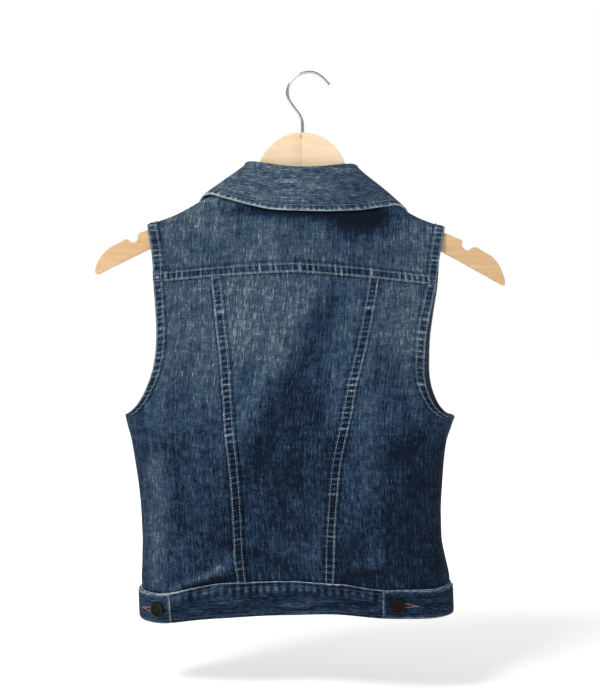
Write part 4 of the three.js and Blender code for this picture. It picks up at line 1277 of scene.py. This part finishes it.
# The waistband's face stands out by half its wall, and the tabs lie a little above it
BAND_OUT = WAISTBAND_WALL / 2
TAB_LIFT = BAND_OUT + 0.45
BAND_SHARES = np.concatenate([[0, 0.012, 0.03], np.linspace(0.06, 0.94, 22), [0.97, 0.988, 1]])
BAND_SEWN_ROWS = (4, -6)
BAND_WASH = 0.30
TAB_SEWN_ROWS = (4, -5)
TAB_MIDDLE_ROW = 12
TAB_WASH = 0.24
TAB_SEWING = 3
TAB_INSET = 0.9
TAB_SPACING = 1.2
BODY_WASH = 0.24
SEAM_ANGLES = {side: side * math.radians(float(seam_at[side](BAND_MIDDLE_Z))) for side, _ in SIDES}
TABS = table("side free", (-1, 128), (1, 102))


def free_end(tab):
    """The angle at which a tab's loose end lies on the back."""
    return float(angle_at(tab["side"] * tab["free"], BAND_MIDDLE_Z, -1))


def band_grid(start, end, inset, lift, spacing=1.7):
    """Points of a stretch of the waistband between two angles, columns by rows."""
    fine = np.linspace(start, end, 400)
    middle = spots_at(fine, (band_top(fine) + band_bottom(fine)) / 2)
    arc = lengths_along(place(*parted(middle)))
    count = max(int(arc[-1] / spacing), 8)
    distance = np.linspace(HALF_GAP, arc[-1] - HALF_GAP, count)
    angle = np.interp(distance, arc, fine)[:, None]
    top = band_top(angle) - HALF_GAP - inset
    bottom = band_bottom(angle) + inset
    z = mix(bottom, top, BAND_SHARES[None, :])
    angle = angle + 0 * z
    distance = distance[:, None] + 0 * z
    way = way_down(angle, z)
    base = place(angle, way)
    normals = outward(angle, way)
    grid = SimpleNamespace(
        angle=angle, way=way, low=distance, high=arc[-1] - distance, bottom=z - bottom, top=top - z)
    return grid, base + normals * lift, normals


def band_shell(node, grid, points, normals, relief, wear_and_shade, wall, wash_and_shade):
    """A doubled piece of the waistband or a tab, with both faces in the outer cloth."""
    points = points + normals * relief[..., None]
    face = np.where(np.cos(grid.angle) > 0, -1, 1)
    shade = wash_and_shade + wash_and_shade_at(points, face) - BODY_WASH
    fields = {"wash_and_shade": shade, "wear_and_shade": wear_and_shade}
    grain = np.stack([grid.bottom, grid.low], -1)
    finishes = [LOOK["denim"], LOOK["denim"]]
    obj = cloth_shell(f"cloth_{node}", points, normals, fields, grain, wall, finishes)
    finish_piece(obj, "denim", node)
    sheet_of(points)
    return points


def band_dress(grid, seed):
    """Rounded edges, a stitched channel under the top edge and short vertical gathers."""
    edge = bell(grid.top, 0.9) + bell(grid.bottom, 0.9)
    bright = bell(grid.top, 1.15)
    channel = bell(grid.top - 3.2, 0.9) + bell(grid.bottom - 4, 0.9)
    phase = grid.low / 9.0 + 0.4 * noise(seed, grid.low, 30)
    streak = (0.5 + 0.5 * np.cos(2 * math.pi * phase)) * (0.6 + 0.4 * noise(seed + 1, grid.low, 13))
    upper = bell(grid.top - 7, 6)
    lower = bell(grid.bottom - 5, 4)
    body = 0.5 * noise(seed + 2, grid.low * 0.4 + grid.top * 2.4, 14)
    relief = -0.6 * edge - 0.3 * channel - 1.0 * upper * streak - 0.3 * lower * (1 - streak) + body
    below = bell(grid.top - 2.4, 0.9)
    wear_and_shade = 1.8 * bright - 0.5 * below + 0.3 * bell(grid.bottom, 1.2)
    wear_and_shade = wear_and_shade + 1.6 * upper * (0.42 - streak) + 0.45 * body - 0.12
    return relief, wear_and_shade


class VEST_OT_waistband(bpy.types.Operator):
    """Waistband in three pieces, joined at the side seams"""

    bl_idname = "vest.waistband"
    bl_label = "Waistband"

    def execute(self, context):
        edge = 2 * math.pi + float(angle_at(-FRONT_OVERLAP, BAND_MIDDLE_Z, 1))
        stretches = {
            "waistband_back": (SEAM_ANGLES[-1], SEAM_ANGLES[1]),
            "waistband_front_left": (edge - 2 * math.pi, SEAM_ANGLES[-1]),
            "waistband_front_right": (SEAM_ANGLES[1], edge),
        }
        for seed, (node, (start, end)) in enumerate(stretches.items()):
            grid, points, normals = band_grid(start, end, 0, BAND_OUT)
            relief, wear_and_shade = band_dress(grid, 60 + 5 * seed)
            points = band_shell(
                node, grid, points, normals, relief, wear_and_shade, WAISTBAND_WALL, BAND_WASH)
            for row in BAND_SEWN_ROWS:
                remember_line(points[:, row], normals[:, row], "tonal")
        return {"FINISHED"}


class VEST_OT_tabs(bpy.types.Operator):
    """Two waist tabs, caught in the side seams and buttoned on the back"""

    bl_idname = "vest.tabs"
    bl_label = "Waist tabs"

    def execute(self, context):
        for tab, (side, name) in zip(TABS, SIDES):
            ends = sorted((free_end(tab), SEAM_ANGLES[side]))
            grid, points, normals = band_grid(*ends, TAB_INSET, TAB_LIFT + TAB_WALL, TAB_SPACING)
            from_free = grid.high if side < 0 else grid.low
            edge = np.minimum(np.minimum(grid.top, grid.bottom), from_free)
            rim = bell(edge, 0.9)
            channel = bell(edge - TAB_SEWING, 0.8)
            gather = pucker(grid.low + grid.top, 80 + side)
            near = bell(edge - TAB_SEWING, 3)
            relief = -0.6 * rim - 0.3 * channel + 0.35 * near * (gather - 0.5)
            wear_and_shade = 1.4 * bell(edge, 1.7) + 0.5 * near * (gather - 0.6)
            points = band_shell(
                f"tab_{name}", grid, points, normals, relief, wear_and_shade, TAB_WALL, TAB_WASH)
            for row in TAB_SEWN_ROWS:
                remember_line(points[:, row], normals[:, row], "tonal")
            column = int(np.argmin(np.abs(from_free[:, TAB_MIDDLE_ROW] - TAB_SEWING)))
            remember_line(points[column, 4:-4], normals[column, 4:-4], "tonal")
        return {"FINISHED"}


def stitch_mesh(name, lines, pitch, half_length, radius, finish):
    """Stitches laid end to end along lines, as copies of one small sphere joined in a mesh."""
    bm = bmesh.new()
    bmesh.ops.create_uvsphere(bm, u_segments=6, v_segments=4, radius=1.0)
    bm.verts.ensure_lookup_table()
    ball = np.array([v.co[:] for v in bm.verts])
    faces = [[v.index for v in face.verts] for face in bm.faces]
    bm.free()
    placed = []
    for points, normals in lines:
        lengths = lengths_along(points)
        count = max(int(lengths[-1] / pitch), 1)
        middles = (np.arange(count) + 0.5) * lengths[-1] / count

        def read(values, offset):
            return np.stack([np.interp(middles + offset, lengths, values[:, k]) for k in range(3)], -1)

        start, end = read(points, -half_length), read(points, half_length)
        forward = unit(end - start)
        upward = read(normals, 0)
        upward = unit(upward - forward * np.sum(upward * forward, -1, keepdims=True))
        sideways = np.cross(upward, forward)
        axes = np.stack([sideways * radius, upward * radius * 0.8, forward * half_length], 1)
        placed.append(((start + end) / 2)[:, None, :] + np.einsum("vk,skc->svc", ball, axes))
    placed = np.concatenate(placed)
    corners = np.array([i for face in faces for i in face])
    sizes = np.array([len(face) for face in faces])
    copies = len(placed)
    corners = (corners[None, :] + np.arange(copies)[:, None] * len(ball)).ravel()
    sizes = np.tile(sizes, copies)
    mesh = bpy.data.meshes.new(name)
    mesh.vertices.add(copies * len(ball))
    mesh.vertices.foreach_set("co", (placed * MM).ravel())
    mesh.loops.add(len(corners))
    mesh.loops.foreach_set("vertex_index", corners)
    mesh.polygons.add(len(sizes))
    mesh.polygons.foreach_set("loop_start", np.concatenate([[0], np.cumsum(sizes)[:-1]]))
    mesh.update(calc_edges=True)
    mesh.validate()
    mesh.shade_smooth()
    mesh.materials.append(finish)
    return finish_piece(link(name, mesh), "denim")


class VEST_OT_stitching(bpy.types.Operator):
    """Twin rows of stitches along every strip, hem and edge"""

    bl_idname = "vest.stitching"
    bl_label = "Stitching"

    def execute(self, context):
        pitch = settings().stitch_pitch / MM
        radius = settings().thread_radius / MM
        for kind, lines in SEWN_LINES.items():
            stitch_mesh(f"{kind}_stitches", lines, pitch, STITCH_HALF_SHARE * pitch, radius, LOOK[kind])
        return {"FINISHED"}


def tab_point(tab, distance, height, lift):
    """A point on a tab at a distance from its free end, a share of its height and a lift."""
    fine = np.linspace(free_end(tab), SEAM_ANGLES[tab["side"]], 300)
    z = mix(band_bottom(fine), band_top(fine), height)
    way = way_down(fine, z)
    arc = lengths_along(place(fine, way))
    angle = np.interp(distance, arc, fine)
    at = np.interp(distance, arc, way)
    normal = outward(angle, at)
    return place(angle, at) + normal * (lift + TAB_LIFT + TAB_WALL), normal


# A buttonhole's two sides: the share of the tab's height at which each starts, and its fall
BUTTONHOLE_EDGES = ((0.60, 0.14), (0.40, -0.05))
BUTTONHOLE_START = 15
BUTTONHOLE_LENGTH = 22
BUTTONHOLE_LIFT = 0.15
PURL_PITCH = 0.9
PURL_HALF = 0.7
PURL_RADIUS = 0.42


class VEST_OT_buttonholes(bpy.types.Operator):
    """Purl-stitched buttonholes on the tabs, running from the button towards the side"""

    bl_idname = "vest.buttonholes"
    bl_label = "Buttonholes"

    def execute(self, context):
        lines = []
        for tab in TABS:
            for edge, slope in BUTTONHOLE_EDGES:
                distances = np.linspace(BUTTONHOLE_START, BUTTONHOLE_START + BUTTONHOLE_LENGTH, 23)
                heights = edge - slope * (distances - BUTTONHOLE_START) / BUTTONHOLE_LENGTH
                found = [tab_point(tab, *spot, BUTTONHOLE_LIFT) for spot in zip(distances, heights)]
                lines.append([np.array(values) for values in zip(*found)])
        stitch_mesh(
            "buttonhole_stitches", lines, PURL_PITCH, PURL_HALF, PURL_RADIUS, LOOK["buttonhole"])
        return {"FINISHED"}


BUTTON_PROFILE = table(
    "r h",
    (0.001, 2.9), (2.2, 2.95), (3.0, 3.15), (3.6, 3.0), (5.6, 3.05), (6.4, 3.5), (7.6, 3.55),
    (8.3, 3.2), (8.5, 2.5), (8.4, 1.5), (7.9, 0.9), (3.5, 0.8), (3.4, 0.0), (0.001, 0.0),
)


# A place inside the garment, in metres across, from which every button points away
INSIDE_X = -0.02


def button_piece(node):
    """A domed tack button with a raised rim, turned about the CAD button's own axis."""
    points = vertices_of(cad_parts[node].data)
    apart = np.unique(points.round(6), axis=0)
    axis = Vector(np.linalg.eigh(np.cov(apart.T))[1][:, 0])
    centre = Vector(apart.mean(axis=0))
    if axis.dot(centre - Vector((INSIDE_X, 0.0, centre.z))) < 0:
        axis.negate()
    heights = (points - np.array(centre)) @ np.array(axis)
    foot = centre + axis * float(heights.min())
    bm = bmesh.new()
    ring = [bm.verts.new((row["r"] * MM, 0, row["h"] * MM)) for row in BUTTON_PROFILE]
    edges = [bm.edges.new(pair) for pair in zip(ring, ring[1:])]
    bmesh.ops.spin(
        bm, geom=ring + edges, cent=(0, 0, 0), axis=(0, 0, 1), angle=2 * math.pi, steps=32,
        use_merge=True)
    bmesh.ops.remove_doubles(bm, verts=bm.verts, dist=0.00002)
    bmesh.ops.recalc_face_normals(bm, faces=bm.faces)
    turn = axis.to_track_quat("Z", "Y").to_matrix().to_4x4()
    bmesh.ops.transform(bm, matrix=Matrix.Translation(foot) @ turn, verts=bm.verts)
    name = f"metal_{node}"
    return finish_piece(link(name, mesh_of(bm, name, LOOK["button"])), "button", node)


class VEST_OT_buttons(bpy.types.Operator):
    """Round tack buttons of the tabs, the front edge and the waistband"""

    bl_idname = "vest.buttons"
    bl_label = "Buttons"

    def execute(self, context):
        for node in [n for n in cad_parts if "button" in n]:
            button_piece(node)
        return {"FINISHED"}


HOOK_LINE = table(
    "x z",
    (21.7, -12.4), (17.7, -8.1), (12.6, -3.2), (4.4, 1.2), (-3.2, 1.5), (-11.3, -1), (-18.2, -6.6),
    (-22.5, -13.9), (-24, -20.7), (-22.3, -28.4), (-17.2, -36.6), (-11.4, -44.1), (-8, -51.7),
    (-7.4, -58.6), (-7.4, -66), (-7.4, -78.3),
)
WIRE_RADIUS = 1.65


def tube_along(name, line, radius, sides, finish):
    """A closed round wire along a line that lies in the XZ plane."""
    tangent = unit(np.gradient(line, axis=0))
    bm = bmesh.new()
    rings = []
    for point, along in zip(line, tangent):
        out = Vector((0, 1, 0))
        side = out.cross(Vector(along))
        axes = Matrix((side, out, Vector(along))).transposed().to_4x4()
        made = bmesh.ops.create_circle(
            bm, cap_ends=False, segments=sides, radius=radius * MM,
            matrix=Matrix.Translation(Vector(point) * MM) @ axes)
        rings.append(made["verts"])
    for first, second in zip(rings, rings[1:]):
        edges = {e for v in first + second for e in v.link_edges if len(e.link_faces) < 2}
        loops = [e for e in edges if set(e.verts) <= set(first) or set(e.verts) <= set(second)]
        bmesh.ops.bridge_loops(bm, edges=loops)
    for ring in (rings[0], rings[-1]):
        bmesh.ops.contextual_create(bm, geom=ring)
    bmesh.ops.recalc_face_normals(bm, faces=bm.faces)
    return link(name, mesh_of(bm, name, finish))


class VEST_OT_hook(bpy.types.Operator):
    """Chrome wire hook, screwed into the hanger's head"""

    bl_idname = "vest.hook"
    bl_label = "Hook"

    def execute(self, context):
        line = spline([(row["x"], 0, row["z"]) for row in HOOK_LINE], 110)
        wire = tube_along("wire_hook", line, WIRE_RADIUS, 16, LOOK["chrome"])
        finish_piece(wire, "hook", "hanger_hook")
        return {"FINISHED"}


HANGER_THICKNESS = 12.5
HANGER_EDGE = 2.4
HEAD_RADIUS = 49.0
HEAD_X = -8.0
HEAD_Z = -113.7
LEFT_SLOPE = (-176, -76)
RIGHT_SLOPE = (64, 147)
LEFT_OF_HEAD = (-65, -123)
RIGHT_OF_HEAD = (46, -126)
HANGER_BELOW_RIDGE = 3.8
HANGER_TIP_DROP = 2.6
LEFT_ARM = table(
    "x z",
    (-183.7, -173), (-186.1, -176.5), (-186.8, -181.4), (-190.6, -183.8), (-194.1, -183.1),
    (-198.2, -180.6), (-207.9, -184.9), (-216.3, -189.6), (-223.9, -196.6), (-228.9, -204),
    (-232, -213), (-232.3, -217), (-229.8, -218.6), (-226.7, -217.4),
)
RIGHT_ARM = table(
    "x z",
    (164.7, -181.4), (166.1, -183.8), (165.2, -187), (168.9, -191.7), (172, -193.1), (175.2, -190.4),
    (180, -189.3), (189.7, -194.5), (198.8, -200.1), (205.6, -208.4), (210.5, -219.6),
    (212.3, -228.5), (211.6, -230.7), (209.4, -230.3),
)
LOWER_EDGE = table(
    "x z",
    (141.1, -192.5), (105, -174.5), (62, -158), (20, -152.5), (-30, -151), (-75, -154.5),
    (-125, -170), (-175, -191.7),
)


def hanger_top(x):
    """Underside of the yoke's ridge over the hanger, at places across."""
    inside = x.copy()
    for _ in range(8):
        inside = x - shift_at(shoulder_at(np.abs(inside)))
    z = shoulder_at(np.abs(inside))
    ridge = hang(inside, np.zeros_like(inside), z)[:, 2]
    tip = smooth((np.abs(inside) - 120) / 42)
    return ridge - HANGER_BELOW_RIDGE - HANGER_TIP_DROP * tip


def hanger_outline():
    """The hanger's outline from its left tip over the head to the right tip and back below."""
    left_x = np.linspace(*LEFT_SLOPE, 24)
    right_x = np.linspace(*RIGHT_SLOPE, 20)
    angle = np.radians(np.linspace(-86, 86, 72))
    head = np.stack([HEAD_X + HEAD_RADIUS * np.sin(angle), HEAD_Z + HEAD_RADIUS * np.cos(angle)], -1)
    left_arm = spline([(row["x"], row["z"]) for row in LEFT_ARM], 60)
    right_arm = spline([(row["x"], row["z"]) for row in RIGHT_ARM], 60)
    lower = [RIGHT_ARM[-1], *LOWER_EDGE, LEFT_ARM[-1]]
    under = spline([(row["x"], row["z"]) for row in lower], 70)[1:-1]
    return np.concatenate([
        left_arm[::-1][1:], np.stack([left_x, hanger_top(left_x)], -1), [LEFT_OF_HEAD], head,
        [RIGHT_OF_HEAD], np.stack([right_x, hanger_top(right_x)], -1), right_arm, under])


class VEST_OT_hanger(bpy.types.Operator):
    """Flat wooden hanger: a round head and two notched arms with softened edges"""

    bl_idname = "vest.hanger"
    bl_label = "Hanger"

    def execute(self, context):
        bm = bmesh.new()
        back = -HANGER_THICKNESS / 2 * MM
        rim = [bm.verts.new((x * MM, back, z * MM)) for x, z in hanger_outline()]
        made = bmesh.ops.extrude_face_region(bm, geom=[bm.faces.new(rim)])
        moved = [v for v in made["geom"] if isinstance(v, bmesh.types.BMVert)]
        bmesh.ops.translate(bm, verts=moved, vec=(0, HANGER_THICKNESS * MM, 0))
        bmesh.ops.recalc_face_normals(bm, faces=bm.faces)
        obj = link("wood_hanger", mesh_of(bm, "wood_hanger", LOOK["wood"]))
        bevel = obj.modifiers.new("Softened edges", "BEVEL")
        bevel.width = HANGER_EDGE * MM
        bevel.segments = 4
        bevel.limit_method = "ANGLE"
        bevel.angle_limit = math.radians(60)
        bevel.harden_normals = True
        finish_piece(obj, "wood", "hanger_wood")
        return {"FINISHED"}


# The camera, the lamps and the ground, in metres and watts
CAMERA = {"x": -0.0102, "distance": 1.8, "z": -0.2992, "lens": 85.45}
LAMPS = table(
    "name x y z size power",
    ("key", -1.1, -1.7, 1.5, 0.9, 57),
    ("fill", 1.6, -2.4, 0.1, 2.4, 7),
    ("rear", -0.4, 2.4, 1.4, 2.0, 40),
)
LAMPS_AIM = Vector((0, 0, -0.35))
WORLD_LIGHT = 0.36
FLOOR_Z = -0.668
FLOOR_HALF = 9.0
FLOOR_NEAR = (0.28, 0.28, 0.28, 1)
FLOOR_FAR = (0.70, 0.70, 0.70, 1)


def place_camera(scene):
    camera = bpy.data.cameras.new("camera")
    camera.lens = CAMERA["lens"]
    camera.sensor_fit = "AUTO"
    eye = link("camera", camera)
    eye.location = (CAMERA["x"], -CAMERA["distance"], CAMERA["z"])
    eye.rotation_euler = (math.pi / 2, 0, 0)
    scene.camera = eye


def place_lamps():
    for row in LAMPS:
        lamp = bpy.data.lights.new(row["name"], "AREA")
        lamp.size = row["size"]
        lamp.energy = row["power"]
        obj = link(row["name"], lamp)
        obj.location = (row["x"], row["y"], row["z"])
        obj.rotation_euler = (LAMPS_AIM - obj.location).to_track_quat("-Z", "Y").to_euler()


def studio_world():
    """White to the camera, and dimmer as light on the vest."""
    world = bpy.data.worlds.new("studio")
    world.use_nodes = True
    nodes = world.node_tree.nodes
    nodes["Background"].inputs["Color"].default_value = (1, 1, 1, 1)
    seen = nodes.new("ShaderNodeLightPath")
    level = nodes.new("ShaderNodeMapRange")
    level.inputs["To Min"].default_value = WORLD_LIGHT
    level.inputs["To Max"].default_value = 1.0
    world.node_tree.links.new(seen.outputs["Is Camera Ray"], level.inputs["Value"])
    world.node_tree.links.new(level.outputs["Result"], nodes["Background"].inputs["Strength"])
    return world


def floor_finish():
    """A pale floor that glows more the further it is from the vest."""
    pale = Finish("floor", Roughness=0.9, Base_Color=(0.9, 0.9, 0.9, 1), Emission_Strength=1.0)
    start = pale.node("ShaderNodeTexCoord", output="Object")
    spread = pale.node("ShaderNodeVectorMath", {"operation": "LENGTH"}, "Value", Vector=start)
    glow = pale.blend(((spread - 0.9) * 0.55).clamped(), FLOOR_NEAR, FLOOR_FAR)
    pale.feed(pale.shader.inputs["Emission Color"], glow)
    return pale.material


class VEST_OT_stage(bpy.types.Operator):
    """Camera at the photograph's angle, soft light from the upper left and a pale floor"""

    bl_idname = "vest.stage"
    bl_label = "Stage"

    def execute(self, context):
        place_camera(context.scene)
        place_lamps()
        context.scene.world = studio_world()
        context.scene.view_settings.view_transform = "Standard"
        bm = bmesh.new()
        bmesh.ops.create_grid(bm, x_segments=2, y_segments=2, size=FLOOR_HALF)
        bmesh.ops.translate(bm, verts=bm.verts, vec=(0, 0, FLOOR_Z))
        link("floor", mesh_of(bm, "floor", floor_finish()))
        return {"FINISHED"}


OPERATORS = (
    VEST_OT_stage, VEST_OT_finishes, VEST_OT_yoke, VEST_OT_centre_back, VEST_OT_side_backs,
    VEST_OT_fronts, VEST_OT_collar, VEST_OT_waistband, VEST_OT_tabs, VEST_OT_stitching,
    VEST_OT_buttonholes, VEST_OT_buttons, VEST_OT_hook, VEST_OT_hanger,
)


class VEST_PT_panel(bpy.types.Panel):
    """Lists the pieces in the sidebar"""

    bl_idname = "VEST_PT_panel"
    bl_label = "Denim vest"
    bl_space_type = "VIEW_3D"
    bl_region_type = "UI"
    bl_category = "Denim vest"

    def draw(self, context):
        for name in VestSettings.__annotations__:
            self.layout.prop(context.scene.vest_settings, name)
        for operator in OPERATORS:
            self.layout.operator(operator.bl_idname)


def register():
    for cls in (VestSettings, *OPERATORS, VEST_PT_panel):
        bpy.utils.register_class(cls)
    bpy.types.Scene.vest_settings = PointerProperty(type=VestSettings)


def unregister():
    del bpy.types.Scene.vest_settings
    for cls in reversed((VestSettings, *OPERATORS, VEST_PT_panel)):
        bpy.utils.unregister_class(cls)


def main():
    register()
    for operator in OPERATORS:
        group, name = operator.bl_idname.split(".")
        getattr(getattr(bpy.ops, group), name)()


if __name__ == "__main__":
    main()
